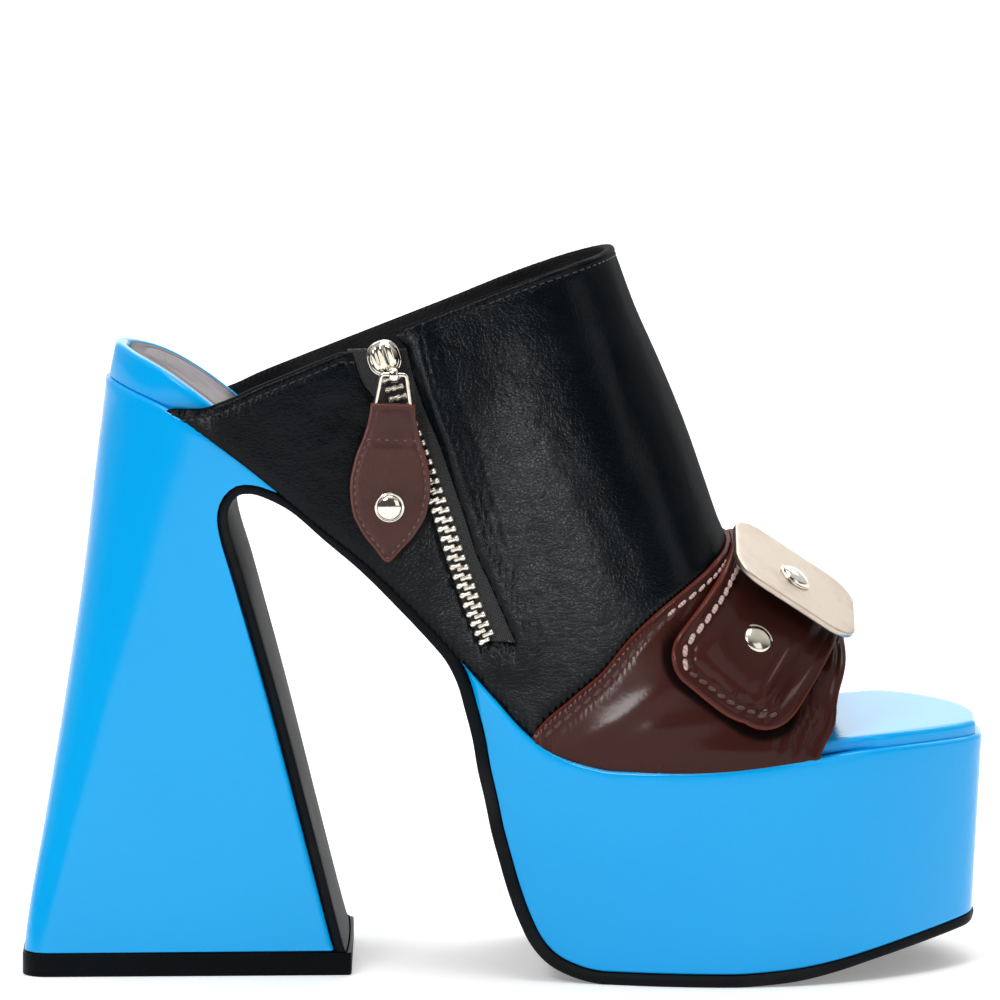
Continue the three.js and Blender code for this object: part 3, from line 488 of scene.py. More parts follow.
def makeGrainGroup():
    # leather grain: small cells between fine creases, over slow swells of the hide
    group, given, leave = newGroup(
        "leatherGrain", {"Cell Scale": 900.0, "Crease": 0.5, "Swell": 0.5, "Wrinkle": 0.0},
        ["Height", "Mask"],
    )
    place = objectPlace(group)
    shifted = addNode(group, "ShaderNodeVectorMath", {"operation": "MULTIPLY_ADD"})
    warp = noiseNode(group, place, 180.0, 2.0)
    for socket, value in zip(shifted.inputs, (warp, (0.0022, 0.0022, 0.0022), place)):
        feed(group, socket, value)
    cells = addNode(
        group, "ShaderNodeTexVoronoi", {"feature": "DISTANCE_TO_EDGE"},
        Vector=shifted.outputs[0], Scale=given["Cell Scale"],
    )
    pebble = rangeNode(group, cells.outputs["Distance"], 0.0, 0.16)
    fine = noiseNode(group, place, 1700.0, 3.0, 0.6)
    slow = noiseNode(group, place, 70.0, 4.0, 0.6)
    creased = mathNode(group, "MULTIPLY", pebble, given["Crease"])
    swollen = mathNode(group, "MULTIPLY", slow, given["Swell"])
    height = mathNode(group, "ADD", mathNode(group, "MULTIPLY_ADD", fine, 0.35, creased), swollen)
    stretched = objectPlace(group, (0, math.radians(-12), 0), (70, 70, 620))
    lines = noiseNode(group, stretched, 1.0, 3.0, 0.6)
    patches = rangeNode(group, noiseNode(group, place, 34.0, 2.0), 0.42, 0.62)
    lined = mathNode(group, "MULTIPLY", mathNode(group, "MULTIPLY", lines, patches), given["Wrinkle"])
    setSockets(group, leave, Height=mathNode(group, "ADD", height, lined), Mask=slow)
    return group


def makePatentGroup():
    # patent film: a nearly flat lacquer with slow waves and a faint orange peel
    group, given, leave = newGroup(
        "patentFilm", {"Wave Scale": 26.0, "Wave": 1.0, "Peel": 0.05}, ["Height", "Mask"],
    )
    place = objectPlace(group)
    slow = noiseNode(group, place, given["Wave Scale"], 1.0, 0.4)
    peel = noiseNode(group, place, 480.0, 2.0, 0.5)
    waves = mathNode(group, "MULTIPLY", slow, given["Wave"])
    height = mathNode(group, "MULTIPLY_ADD", peel, given["Peel"], waves)
    setSockets(group, leave, Height=height, Mask=noiseNode(group, place, 9.0, 2.0, 0.5))
    return group


def makeWearGroup():
    # handling marks: sparse short scratches and soft smudges
    group, given, leave = newGroup(
        "handlingMarks", {"Scratch Scale": 60.0, "Smudge Scale": 30.0}, ["Scratches", "Smudges"],
    )
    stretched = objectPlace(group, (0.3, 0.5, 0.2), (1, 1, 14))
    lines = noiseNode(group, stretched, given["Scratch Scale"], 4.0, 0.7)
    smudge = noiseNode(group, objectPlace(group), given["Smudge Scale"], 3.0, 0.6)
    scratches = rangeNode(group, lines, 0.66, 0.74)
    setSockets(group, leave, Scratches=scratches, Smudges=rangeNode(group, smudge, 0.42, 0.68))
    return group


grainGroup = makeGrainGroup()
patentGroup = makePatentGroup()
wearGroup = makeWearGroup()


def startMaterial(name, **values):
    material = bpy.data.materials.new(name)
    material.use_nodes = True
    tree = material.node_tree
    shader = tree.nodes["Principled BSDF"]
    setSockets(tree, shader, **values)
    return material, tree, shader


def useGroup(tree, group, **values):
    return addNode(tree, "ShaderNodeGroup", {"node_tree": group}, **values).outputs


def addBump(tree, shader, height, distance):
    normal = addNode(tree, "ShaderNodeBump", Strength=1.0, Distance=distance, Height=height).outputs[0]
    setSockets(tree, shader, Normal=normal, Coat_Normal=normal)


def patentMaterial(
    name, color, deep, edgeColor=None, wave=1.0, waveScale=26.0, coat=1.0, coatRoughness=0.04, roughness=0.3,
    coatIor=1.35,
):
    material, tree, shader = startMaterial(
        name, Coat_Weight=coat, Coat_Roughness=coatRoughness, Coat_IOR=coatIor, Specular_IOR_Level=0.0,
    )
    film = useGroup(tree, patentGroup, Wave_Scale=waveScale, Wave=wave, Peel=0.04)
    marks = useGroup(tree, wearGroup, Scratch_Scale=45.0, Smudge_Scale=24.0)
    paint = mixColor(tree, rangeNode(tree, film["Mask"], 0.3, 0.7), color, deep)
    if edgeColor:
        rim = rangeNode(tree, storedValue(tree, "edge"), 0.15, 0.9, 1.0, 0.0)
        paint = mixColor(tree, rim, paint, edgeColor)
        # painted shadow: a value stored on the mesh darkens the colour to near black and takes away the coat
        # there
        paintedShadow = storedValue(tree, "paintedShadow")
        paint = mixColor(tree, paintedShadow, paint, linear(12, 8, 8))
        setSockets(tree, shader, Coat_Weight=mathNode(tree, "MULTIPLY_ADD", paintedShadow, -coat, coat))
    rough = mathNode(tree, "MULTIPLY_ADD", marks["Smudges"], 0.08, roughness)
    setSockets(tree, shader, Base_Color=paint, Roughness=rough)
    addBump(tree, shader, film["Height"], 0.0006)
    return material


def leatherMaterial(
    name, color, worn, cellScale, roughness, depth, coat=0.15, crease=0.5, specular=0.5, edgeColor=None,
    bandColor=None, wrinkle=0.0, edgeReach=0.8, swell=0.6, coatIor=1.4,
):
    material, tree, shader = startMaterial(
        name, Coat_Weight=coat, Coat_Roughness=0.24, Coat_IOR=coatIor, Specular_IOR_Level=specular,
    )
    grain = useGroup(tree, grainGroup, Cell_Scale=cellScale, Crease=crease, Swell=swell, Wrinkle=wrinkle)
    marks = useGroup(tree, wearGroup, Scratch_Scale=70.0, Smudge_Scale=38.0)
    paint = mixColor(tree, rangeNode(tree, grain["Mask"], 0.35, 0.7), color, worn)
    if bandColor:
        band = rangeNode(tree, storedValue(tree, "edge"), 3.0, 4.4, 1.0, 0.0)
        paint = mixColor(tree, band, paint, bandColor)
    if edgeColor:
        rim = rangeNode(tree, storedValue(tree, "edge"), edgeReach / 8, edgeReach, 1.0, 0.0)
        paint = mixColor(tree, rim, paint, edgeColor)
    rough = mathNode(tree, "MULTIPLY_ADD", marks["Smudges"], 0.14, roughness)
    setSockets(tree, shader, Base_Color=paint, Roughness=rough)
    addBump(tree, shader, grain["Height"], depth)
    return material


def metalMaterial(name, color, dark, roughness, stretch, depth):
    material, tree, shader = startMaterial(name, Metallic=1.0)
    marks = useGroup(tree, wearGroup, Scratch_Scale=110.0, Smudge_Scale=90.0)
    rough = mathNode(tree, "MULTIPLY_ADD", marks["Smudges"], 0.08, roughness)
    rough = mathNode(tree, "MULTIPLY_ADD", marks["Scratches"], 0.15, rough)
    setSockets(tree, shader, Base_Color=mixColor(tree, marks["Smudges"], color, dark), Roughness=rough)
    place = objectPlace(tree, (0, math.radians(30), 0), stretch)
    addBump(tree, shader, noiseNode(tree, place, 1.0, 2.0), depth)
    return material


def rubberMaterial(name, color, scuffed, roughness):
    material, tree, shader = startMaterial(name, Specular_IOR_Level=0.08)
    place = objectPlace(tree)
    blotch = noiseNode(tree, place, 45.0, 3.0, 0.6)
    marks = useGroup(tree, wearGroup, Scratch_Scale=50.0, Smudge_Scale=40.0)
    worn = mathNode(tree, "MULTIPLY", marks["Smudges"], rangeNode(tree, blotch, 0.4, 0.7))
    rough = mathNode(tree, "MULTIPLY_ADD", blotch, 0.2, roughness)
    setSockets(tree, shader, Base_Color=mixColor(tree, worn, color, scuffed), Roughness=rough)
    addBump(tree, shader, noiseNode(tree, place, 1400.0, 4.0, 0.65), 0.00012)
    return material


def threadMaterial(name, color):
    material, tree, shader = startMaterial(name, Roughness=0.55, Sheen_Weight=0.2)
    ply = addNode(
        tree, "ShaderNodeTexWave", {"wave_type": "BANDS", "bands_direction": "DIAGONAL"},
        Vector=objectPlace(tree), Scale=420.0,
    ).outputs["Fac"]
    # painted shade: the thread is darker in the low bands of its twist, where the bump also sinks
    paintedGrooveShade = tuple(channel * 0.55 for channel in color)
    setSockets(tree, shader, Base_Color=mixColor(tree, ply, paintedGrooveShade, color))
    addBump(tree, shader, ply, 0.00008)
    return material


def clothMaterial(name, color, light):
    material, tree, shader = startMaterial(name, Roughness=0.85, Sheen_Weight=0.3)
    turned = objectPlace(tree, (0, math.radians(-22), 0))
    warp = addNode(tree, "ShaderNodeTexWave", {"bands_direction": "X"}, Vector=turned, Scale=520.0)
    weft = addNode(tree, "ShaderNodeTexWave", {"bands_direction": "Z"}, Vector=turned, Scale=420.0)
    weave = mathNode(tree, "MULTIPLY", warp.outputs["Fac"], weft.outputs["Fac"])
    # painted shade and light: the weave is lighter on its raised crossings and darker in its gaps, where the
    # bump also sinks
    setSockets(tree, shader, Base_Color=mixColor(tree, weave, color, light))
    addBump(tree, shader, weave, 0.0002)
    return material


bluePatent = patentMaterial(
    "bluePatent", linear(5, 168, 236), linear(2, 162, 232),
    wave=0.12, waveScale=14.0, coat=0.85, coatRoughness=0.12, coatIor=1.4,
)
brownPatent = patentMaterial(
    "brownPatent", linear(56, 27, 23), linear(47, 22, 19), edgeColor=linear(88, 38, 29),
    wave=0.3, waveScale=62.0, coat=0.14, coatRoughness=0.17, roughness=0.34, coatIor=1.75,
)
blackLeather = leatherMaterial(
    "blackLeather", linear(3, 6, 9), linear(6, 10, 14), 1000.0, 0.42, 0.00012,
    coat=0.085, crease=0.16, specular=0.0, wrinkle=0.5, swell=4.2, coatIor=2.0,
)
blackLining = leatherMaterial(
    "blackLining", linear(18, 18, 20), linear(26, 26, 28), 700.0, 0.6, 0.00012, coat=0.0, specular=0.2,
)
sockLeather = leatherMaterial(
    "sockLeather", linear(98, 86, 92), linear(78, 68, 74), 1300.0, 0.42, 0.00008, coat=0.12, crease=0.3,
    specular=0.14, edgeColor=linear(14, 12, 15), bandColor=linear(66, 58, 62), edgeReach=2.0,
)
pullLeather = leatherMaterial(
    "pullLeather", linear(62, 32, 27), linear(53, 27, 23), 1500.0, 0.36, 0.00006,
    coat=0.14, crease=0.25, specular=0.2, edgeColor=linear(86, 46, 36),
)
brushed = dict(stretch=(60, 2600, 900), depth=0.00002)
polished = dict(stretch=(700, 700, 700), depth=0.000012)
paleGold = metalMaterial("paleGold", linear(198, 185, 170), linear(189, 175, 159), 0.36, **brushed)
nickel = metalMaterial("nickel", linear(232, 226, 212), linear(212, 204, 188), 0.09, **polished)
toothMetal = metalMaterial("toothMetal", linear(240, 235, 224), linear(220, 212, 198), 0.34, **polished)
soleRubber = rubberMaterial("soleRubber", linear(16, 19, 22), linear(32, 32, 33), 0.42)
liftRubber = rubberMaterial("liftRubber", linear(3, 6, 9), linear(10, 14, 17), 0.4)
# the second colour is the painted lit tone of the raised weave
tapeCloth = clothMaterial("tapeCloth", linear(4, 5, 7), linear(12, 13, 15))
blackThread = threadMaterial("blackThread", linear(28, 32, 37))
paleThread = threadMaterial("paleThread", linear(206, 174, 166))
brownThread = threadMaterial("brownThread", linear(84, 44, 38))
tanThread = threadMaterial("tanThread", linear(124, 78, 66))

buildStudio()
print("studio ready")


# Sole: the platform, the board, the sock, the outsole, the heel and its lift

def insetHalf(curve, x, margin):
    slope = curve(x + 0.5) - curve(x - 0.5)
    return np.maximum(curve(x) - margin * np.hypot(1, slope), 0.4)


def planLoop(start, end, margin, count=110, rounds=3):
    # the sole's outline between two X values, lateral side first, as paired points
    angle = np.linspace(0, math.pi, count)
    x = (start + end) / 2 - (end - start) / 2 * np.cos(angle)
    left = np.stack([x, -insetHalf(lateral, x, margin(x))], 1)
    right = np.stack([x, insetHalf(medial, x, margin(x))], 1)
    loop = np.concatenate([left, right[::-1]])
    for _ in range(rounds):
        loop = (np.roll(loop, 1, 0) + 2 * loop + np.roll(loop, -1, 0)) / 4
    return loop


def loopNormals(loop):
    ahead = np.roll(loop, -1, 0) - np.roll(loop, 1, 0)
    out = np.stack([ahead[:, 1], -ahead[:, 0]], 1)
    return out / np.linalg.norm(out, axis=1)[:, None]


def rimSteps(radius, steps=4):
    # inset and drop of a rounded rim, from the face to the side
    angles = np.linspace(0, math.pi / 2, steps + 1)
    return [(radius * (1 - math.sin(a)), radius * (1 - math.cos(a))) for a in angles]


def edgedSlab(loop, low, high, rim, footRim, extra=(), flare=None):
    # rings up the side of a flat piece: lower rim, side, upper rim, then rings inset on top
    out = loopNormals(loop)
    rims = rim(loop[:, 0]) if callable(rim) else np.full(len(loop), float(rim))
    spread = flare(loop[:, 0]) if flare else np.zeros(len(loop))
    rings = []
    edges = []
    for inset, rise in rimSteps(footRim):
        flat = loop + out * (spread - inset)[:, None]
        rings.append(np.column_stack([flat, low(flat[:, 0]) + rise]))
        edges.append(np.full(len(loop), inset))
    for inset, drop in reversed(rimSteps(1.0)):
        flat = loop - out * (inset * rims)[:, None]
        rings.append(np.column_stack([flat, high(flat[:, 0]) - drop * rims]))
        edges.append(inset * rims)
    for inset, rise in extra:
        flat = loop - out * inset
        level = rise(flat[:, 0]) if callable(rise) else rise
        rings.append(np.column_stack([flat, high(flat[:, 0]) + level]))
        edges.append(np.full(len(loop), inset))
    points, faces = stackedRings(rings)
    return points, faces, np.concatenate(edges)


# The board's shares of the sole's length say where each change begins and ends
board = dict(
    start=1.7, end=1.6, count=150, rim=1.1, footRim=0.4, heelRim=1.6, heelRimAt=(0.3, 0.05),
    heelLift=0.9, heelLiftAt=(0.16, 0), heelFlare=1.4, heelFlareAt=(0.08, 0.045),
    thinUntil=0.5, toeSink=1.7, toeSinkAt=(0.83, 0.87), toeMargin=1.3, toeMarginAt=(0.85, 0.885),
)


def between(x, shares):
    # rises from 0 to 1 between two shares of the sole's length
    return smooth(x, along(shares[0]), along(shares[1]))


def boardMargin(x):
    return shoe["vampWall"] + 2 * seam - proud(x)


def boardLow(x):
    # the board rests on the platform's rim past the strap
    return feather(x) + seam - board["toeSink"] * seam * between(x, board["toeSinkAt"])


def boardHigh(x):
    share = np.minimum((np.asarray(x, float) - seatBack) / shoe["soleLength"] / board["thinUntil"], 1)
    thick = shoe["seatBoard"] + (shoe["toeBoard"] - shoe["seatBoard"]) * np.maximum(share, 0) ** 1.5
    return feather(x) + seam + thick + board["heelLift"] * between(x, board["heelLiftAt"])


def bareMargin(x):
    # the board keeps clear of the upper and comes out to the platform's rim past the strap
    past = between(x, board["toeMarginAt"])
    return boardMargin(x) * (1 - past) + board["toeMargin"] * past


def buildBoard():
    # under the sock the face has a shallow recess, which fades out ahead of the sock's end
    loop = planLoop(seatBack + board["start"], toeTip - board["end"], bareMargin, board["count"])
    underSock = lambda x: between(x, (sock["end"] + 0.06, sock["end"] + 0.02))
    points, faces, edges = edgedSlab(
        loop, boardLow, boardHigh,
        lambda x: board["rim"] + (board["heelRim"] - board["rim"]) * between(x, board["heelRimAt"]),
        board["footRim"],
        [(2.9, 0), (3.05, lambda x: -0.25 * underSock(x)), (3.1, lambda x: -0.8 * underSock(x))],
        lambda x: board["heelFlare"] * between(x, board["heelFlareAt"]),
    )
    piece = newPiece("insoleWrap", points, faces, [bluePatent], attributes={"edge": edges})
    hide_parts("insole_board")


sock = dict(
    margin=3.2, start=0.4, end=0.7, count=120, rounds=16, rim=0.35, footRim=0.1, sunk=0.9, proud=-0.2,
    groove=3.5, grooveDepth=0.3, pad=0.15,
)


def buildSock():
    loop = planLoop(
        seatBack + board["start"] + sock["margin"] + sock["start"],
        along(sock["end"]),
        lambda x: boardMargin(x) + sock["margin"],
        sock["count"],
        sock["rounds"],
    )
    groove, deep, pad = sock["groove"], sock["grooveDepth"], sock["pad"]
    extra = [
        (0.8, 0.03), (1.8, 0.06), (groove - 0.9, 0.06), (groove - 0.35, -deep / 2), (groove, -deep),
        (groove + 0.35, -deep / 2), (groove + 0.9, pad * 0.7), (groove + 2.2, pad), (groove + 5, pad),
    ]
    points, faces, edges = edgedSlab(
        loop, lambda x: boardHigh(x) - sock["sunk"], lambda x: boardHigh(x) + sock["proud"],
        sock["rim"], sock["footRim"], extra,
    )
    piece = newPiece("heelSock", points, faces, [sockLeather], attributes={"edge": edges})
    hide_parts("heel_sock")


shank = dict(start=0.38, end=0.215, rows=5)
stepsPerRow = 5


def runRowPoints():
    # the outsole's inner face: under the platform, along the feather line, over the arch, down the breast
    shares = np.linspace(shank["start"], shank["end"], shank["rows"])
    onFeather = [(at, float(feather(along(at))) / shoe["seatRise"]) for at in shares]
    rows = soleRun + onFeather + archCrown
    return np.array([(along(at), rise * shoe["seatRise"]) for at, rise in rows])


def catmull(points, perSpan):
    # a centripetal curve through the points, with its places, its ways ahead and its row numbers
    padded = np.vstack([2 * points[0] - points[1], points, 2 * points[-1] - points[-2]])
    places = []
    rows = []
    for i in range(len(points) - 1):
        p0, p1, p2, p3 = padded[i : i + 4]
        d0, d1, d2 = (math.sqrt(np.linalg.norm(b - a)) for a, b in ((p0, p1), (p1, p2), (p2, p3)))
        t1 = ((p1 - p0) / d0 - (p2 - p0) / (d0 + d1) + (p2 - p1) / d1) * d1
        t2 = ((p2 - p1) / d1 - (p3 - p1) / (d1 + d2) + (p3 - p2) / d2) * d1
        for k in range(perSpan):
            t = k / perSpan
            near = (2 * t**3 - 3 * t**2 + 1) * p1 + (t**3 - 2 * t**2 + t) * t1
            places.append(near + (3 * t**2 - 2 * t**3) * p2 + (t**3 - t**2) * t2)
            rows.append(i + t)
    places.append(points[-1])
    rows.append(len(points) - 1)
    places = np.array(places)
    ahead = np.gradient(places, axis=0)
    return places, ahead / np.linalg.norm(ahead, axis=1)[:, None], np.array(rows)


shankRow = len(soleRun)
crownRow = shankRow + shank["rows"] + 1
runInner, runAhead, runRow = catmull(runRowPoints(), stepsPerRow)
runInner[runRow < shankRow, 1] = np.maximum(runInner[runRow < shankRow, 1], shoe["outsoleSheet"])
runOut = np.stack([-runAhead[:, 1], runAhead[:, 0]], 1)
runClear = runInner - runOut * seam
bulgeShare = through(bulgeLine)
heelFront = through([(row[0], row[3]) for row in heelRings])
heelFloor = shoe["liftThickness"] + seam


def heelHalfAt(z):
    return shoe["ballHalfWidth"] * heelFront(z / shoe["seatRise"])


def bulge(y, z):
    across = np.minimum(np.abs(y) / heelHalfAt(z), 1)
    return heelBulge * bulgeShare(z / shoe["seatRise"]) * (1 - across**2)


platform = dict(
    tip=0.404, taper=1.6, toeTaper=2.2, toeFrom=0.88, rim=1.1, footRim=0.8, sideRings=8, count=160, rounds=2,
)


def platformLoops():
    # the platform's outline at its upper edge and at its foot
    loop = planLoop(along(platform["tip"]), toeTip, lambda x: 0 * x, platform["count"], platform["rounds"])
    foot = loop.copy()
    narrow = np.minimum(platform["taper"], np.abs(loop[:, 1]) / 2)
    foot[:, 0] -= platform["toeTaper"] * smooth(loop[:, 0], along(platform["toeFrom"]), toeTip)
    foot[:, 1] -= np.sign(loop[:, 1]) * narrow
    return loop, foot


outsole = dict(
    margin=1.6, breastMargin=0.2, rim=0.7, across=16, noseRows=1.2, noseFrom=0.88,
    toeThinning=0.8, thinFrom=0.76,
)


def buildOutsole():
    foot = platformLoops()[1]

    def footHalf(x, sign):
        # half width of the platform's foot, which the nose keeps inside
        side = foot[foot[:, 1] * sign > 0]
        side = side[np.argsort(side[:, 0])]
        return float(np.interp(x, side[:, 0], np.abs(side[:, 1]), right=2))

    onBreast = smooth(runRow, shankRow, crownRow)
    sheet = shoe["outsoleSheet"] + (shoe["breastSheet"] - shoe["outsoleSheet"]) * onBreast
    nose = along(outsole["noseFrom"])
    rings = []
    for (x, z), (outX, outZ), row, thick in zip(runInner, runOut, runRow, sheet):
        if row > crownRow and z < heelFloor - 3:
            continue
        if row > crownRow:
            left = right = float(heelHalfAt(z)) - outsole["breastMargin"]
        else:
            left, right = (float(half(x)) - outsole["margin"] for half in (lateral, medial))
        if x > nose:
            left, right = min(left, footHalf(x, -1)), min(right, footHalf(x, 1))
        thick -= outsole["toeThinning"] * float(smooth(x, along(outsole["thinFrom"]), nose))
        fromNose = min(row / outsole["noseRows"], 1)
        thick *= 0.3 + 0.7 * math.sqrt(1 - (1 - fromNose) ** 2)
        corners = rimSteps(min(outsole["rim"], thick / 2.2), 3)[::-1]
        upper = [(t * (left if t < 0 else right), 0.0) for t in np.linspace(-1, 1, outsole["across"])]
        side = [(right - inset, thick - depth) for inset, depth in corners]
        lower = [(y, thick) for y, _ in upper[-2:0:-1]]
        otherSide = [(inset - left, thick - depth) for inset, depth in corners[::-1]]
        points = []
        for y, depth in upper + side + lower + otherSide:
            px = x + outX * depth
            pz = z + outZ * depth
            if row > crownRow:
                px += float(bulge(y, pz))
                pz = max(pz, heelFloor)
            else:
                pz = max(pz, shoe["outsoleSheet"] - depth)
            points.append((px, y, pz))
        rings.append(np.array(points))
    around = len(rings[0])
    points = np.concatenate(rings)
    faces = ringFaces(len(rings), around)
    for first in (0, (len(rings) - 1) * around):
        points = np.vstack([points, points[first : first + around].mean(0)])
        middle = len(points) - 1
        faces += [(middle, first + j, first + (j + 1) % around) for j in range(around)]
    piece = newPiece("outsoleRubber", points, faces, [soleRubber])
    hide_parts("outsole")


def buildPlatform():
    floor = runClear[runRow < shankRow + 1]
    floor = floor[np.argsort(floor[:, 0])]
    loop, foot = platformLoops()
    out = loopNormals(loop)

    def rimRing(flat, rise, fromFoot):
        # a ring of the foot's or the upper edge's rounded rim, flatter where the block is thin
        low, high = np.interp(flat[:, 0], floor[:, 0], floor[:, 1]), feather(flat[:, 0])
        rise = np.minimum(rise, np.maximum(high - low, 0.1) / 3)
        return np.column_stack([flat, low + rise if fromFoot else high - rise])

    rings = [rimRing(foot - out * inset, rise, True) for inset, rise in rimSteps(platform["footRim"])]
    top = [rimRing(loop - out * inset, drop, False) for inset, drop in reversed(rimSteps(platform["rim"]))]
    sides = []
    for t in np.linspace(0, 1, platform["sideRings"] + 2)[1:-1]:
        sides.append(rings[-1] * (1 - t) + top[0] * t)
    points, faces = stackedRings(rings + sides + top)
    piece = newPiece("platformWrap", points, faces, [bluePatent])
    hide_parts("platform")


heel = dict(
    tip=0.197, reach=0.3, levels=64, sideSteps=34, cornerSteps=16, backSteps=8, breastSteps=12, rim=0.9,
    seatFrom=100, frontEase=0.3, sideEase=0.5,
)
heelTable = [through([(row[0], row[column]) for row in heelRings]) for column in range(1, 6)]


def heelSizes(z):
    back, halfBack, halfFront, length, width = (curve(z / shoe["seatRise"]) for curve in heelTable)
    back = seatBack - back * (shoe["overallLength"] - shoe["soleLength"])
    return back, halfBack * shoe["ballHalfWidth"], halfFront * shoe["ballHalfWidth"], length, width


def heelHalfWidth(x, z):
    # half width of the block at a place on its side, straight to the corner and round at the back
    back, half, front, length, width = heelSizes(z)
    start = back + length
    ahead = np.clip((x - start) / (along(heel["reach"]) - start), 0, 1)
    into = np.clip((start - x) / length, 0, 1)
    return half + (front - half) * ahead - width * (1 - np.sqrt(np.maximum(1 - into**2, 0)))


def buildHeel():
    # the rings follow the breast upward and tilt from the floor to the feather line
    underShank = (runRow > crownRow - 2) & (runClear[:, 0] < along(heel["tip"]))
    breast = runClear[(runRow > crownRow) | underShank][::-1]
    breast = breast[breast[:, 1] > heelFloor - 0.01]
    tipPlace = int(np.argmax(np.where(breast[:, 1] > heel["seatFrom"], breast[:, 0], seatBack * 2)))
    breast = breast[: tipPlace + 1]
    length = lengthAlong(breast)
    seatZ = float(feather(seatBack))
    rings = []
    # level, inset and extra rise of each ring: the lower rim, the sides and the upper rim
    plans = [(0.0, 0.5, 0.0), (0.0, 0.12, 0.03), (0.0, 0.0, 0.16), (0.0, 0.0, 0.5)]
    plans += [(level, 0.0, 0.0) for level in np.linspace(0, 1, heel["levels"])[1:]]
    plans += [(1.0, inset, heel["rim"] - drop) for inset, drop in rimSteps(heel["rim"])[::-1][1:]]
    for level, inset, lift in plans:
        frontX, frontZ = (float(np.interp(level * length[-1], length, column)) for column in breast.T)
        backZ = heelFloor + level * (seatZ - heel["rim"] - heelFloor)
        back, _, _, cornerLength, _ = (float(size) for size in heelSizes(backZ))
        start = min(back + cornerLength, frontX - 1)
        side = start + (frontX - start) * (1 - np.linspace(0, 1, heel["sideSteps"]) ** 1.2)
        corner = start - (start - back) * np.sin(np.linspace(0, math.pi / 2, heel["cornerSteps"])[1:])
        x = np.concatenate([side, corner])
        s = (x - back) / (frontX - back)
        chord = feather(back) + (feather(frontX) - feather(back)) * s
        z = backZ + (frontZ - backZ) * s + level * (feather(x) - chord)
        z = np.where(level == 1.0, feather(x) - heel["rim"], z) + lift
        y = heelHalfWidth(x, z) - inset
        x = x + inset * np.where(x < start, (start - x) / max(start - back, 1), 0)
        x[0] -= heel["frontEase"]
        y[0] -= heel["sideEase"]
        lateralSide = np.stack([x, -y, z], 1)
        backY = np.linspace(-y[-1], y[-1], 2 * heel["backSteps"])[1:-1]
        backRow = np.stack([np.full_like(backY, x[-1]), backY, np.full_like(backY, z[-1])], 1)
        frontY = np.linspace(y[0], -y[0], 2 * heel["breastSteps"])[1:-1]
        frontRow = np.stack([x[0] + bulge(frontY, z[0]), frontY, np.full_like(frontY, z[0])], 1)
        medialSide = lateralSide[::-1] * np.array([1, -1, 1])
        split = len(frontRow) // 2
        rings.append(np.concatenate([frontRow[split:], lateralSide, backRow, medialSide, frontRow[:split]]))
    points, faces = stackedRings(rings)
    piece = newPiece("heelWrap", points, faces, [bluePatent])
    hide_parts("heel_block")


lift = dict(front=0.2785, rim=0.35, footRim=0.5, corner=1.2, cornerEase=0.35, cornerSteps=12, sideSteps=12)


def buildLift():
    back, half, front, length, width = (float(v) for v in heelSizes(0.0))
    reach = along(lift["front"])
    angle = np.linspace(0, math.pi / 2, lift["cornerSteps"])
    corner = np.stack([back + length * (1 - np.sin(angle)), -(half - width * (1 - np.cos(angle)))], 1)
    t = np.linspace(0, 1, lift["sideSteps"])[:-1]
    side = np.stack([reach + (back + length - reach) * t, -(front + (half - front) * t)], 1)
    cut, ease = lift["corner"], lift["cornerEase"]
    nose = np.array([[reach, -front * 0.5], [reach, -front + cut], [reach - ease, -front + ease]])
    side[0] = (reach - cut, -front)
    oneSide = np.concatenate([nose, side, corner])
    loop = np.concatenate([oneSide, (oneSide * np.array([1, -1]))[::-1]])
    points, faces, _ = edgedSlab(
        loop[::-1], lambda x: 0 * x, lambda x: 0 * x + shoe["liftThickness"], lift["rim"], lift["footRim"],
    )
    piece = newPiece("topLift", points, faces, [liftRubber])
    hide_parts("top_lift")


buildBoard()
buildSock()
buildOutsole()
buildPlatform()
buildHeel()
buildLift()
print("sole ready")


# The upper's surface: turn 0 is the lateral feather line, 0.5 the ridge, 1 the medial feather line

turnScale = 160.0  # millimetres of the flat pattern for one turn
tuck = -0.004  # turn at which the leather ends, just below the feather line
footDrop = 200.0  # millimetres down for one turn past the feather line
middleSection = 0.45  # share of the sole's length at which turns are spaced evenly


def upperPoint(x, turn):
    x, turn = np.broadcast_arrays(np.asarray(x, float), np.asarray(turn, float))
    below = footDrop * (np.maximum(-turn, 0) + np.maximum(turn - 1, 0))
    turn = np.clip(turn, 0, 1)
    side = np.cos(np.pi * turn)
    power = 2 / fullness(x)
    half = np.where(side > 0, lateral(x), medial(x)) + proud(x)
    y = -np.sign(side) * half * np.abs(side) ** power
    z = feather(x) + (ridge(x) - feather(x)) * np.abs(np.sin(np.pi * turn)) ** power
    return np.stack([x, y, z - below], -1)


def upperNormal(x, turn):
    step, reach = 0.004, 0.5
    safe = np.clip(turn, 2 * step, 1 - 2 * step)
    ahead = upperPoint(x + reach, safe) - upperPoint(x - reach, safe)
    around = upperPoint(x, safe + step) - upperPoint(x, safe - step)
    normal = -np.cross(around, ahead)
    return normal / np.linalg.norm(normal, axis=-1)[..., None]


def turnAt(x, z):
    share = np.clip((z - feather(x)) / (ridge(x) - feather(x)), 0, 1)
    return np.arcsin(share ** (fullness(x) / 2)) / math.pi


def solveX(turn, test):
    # the X at which a test of the surface's points goes above zero, at given turns
    turn = np.asarray(turn, float)
    low = np.full_like(turn, seatBack)
    high = np.full_like(turn, toeTip)
    for _ in range(36):
        middle = (low + high) / 2
        above = test(upperPoint(middle, turn)) > 0
        high = np.where(above, middle, high)
        low = np.where(above, low, middle)
    return (low + high) / 2


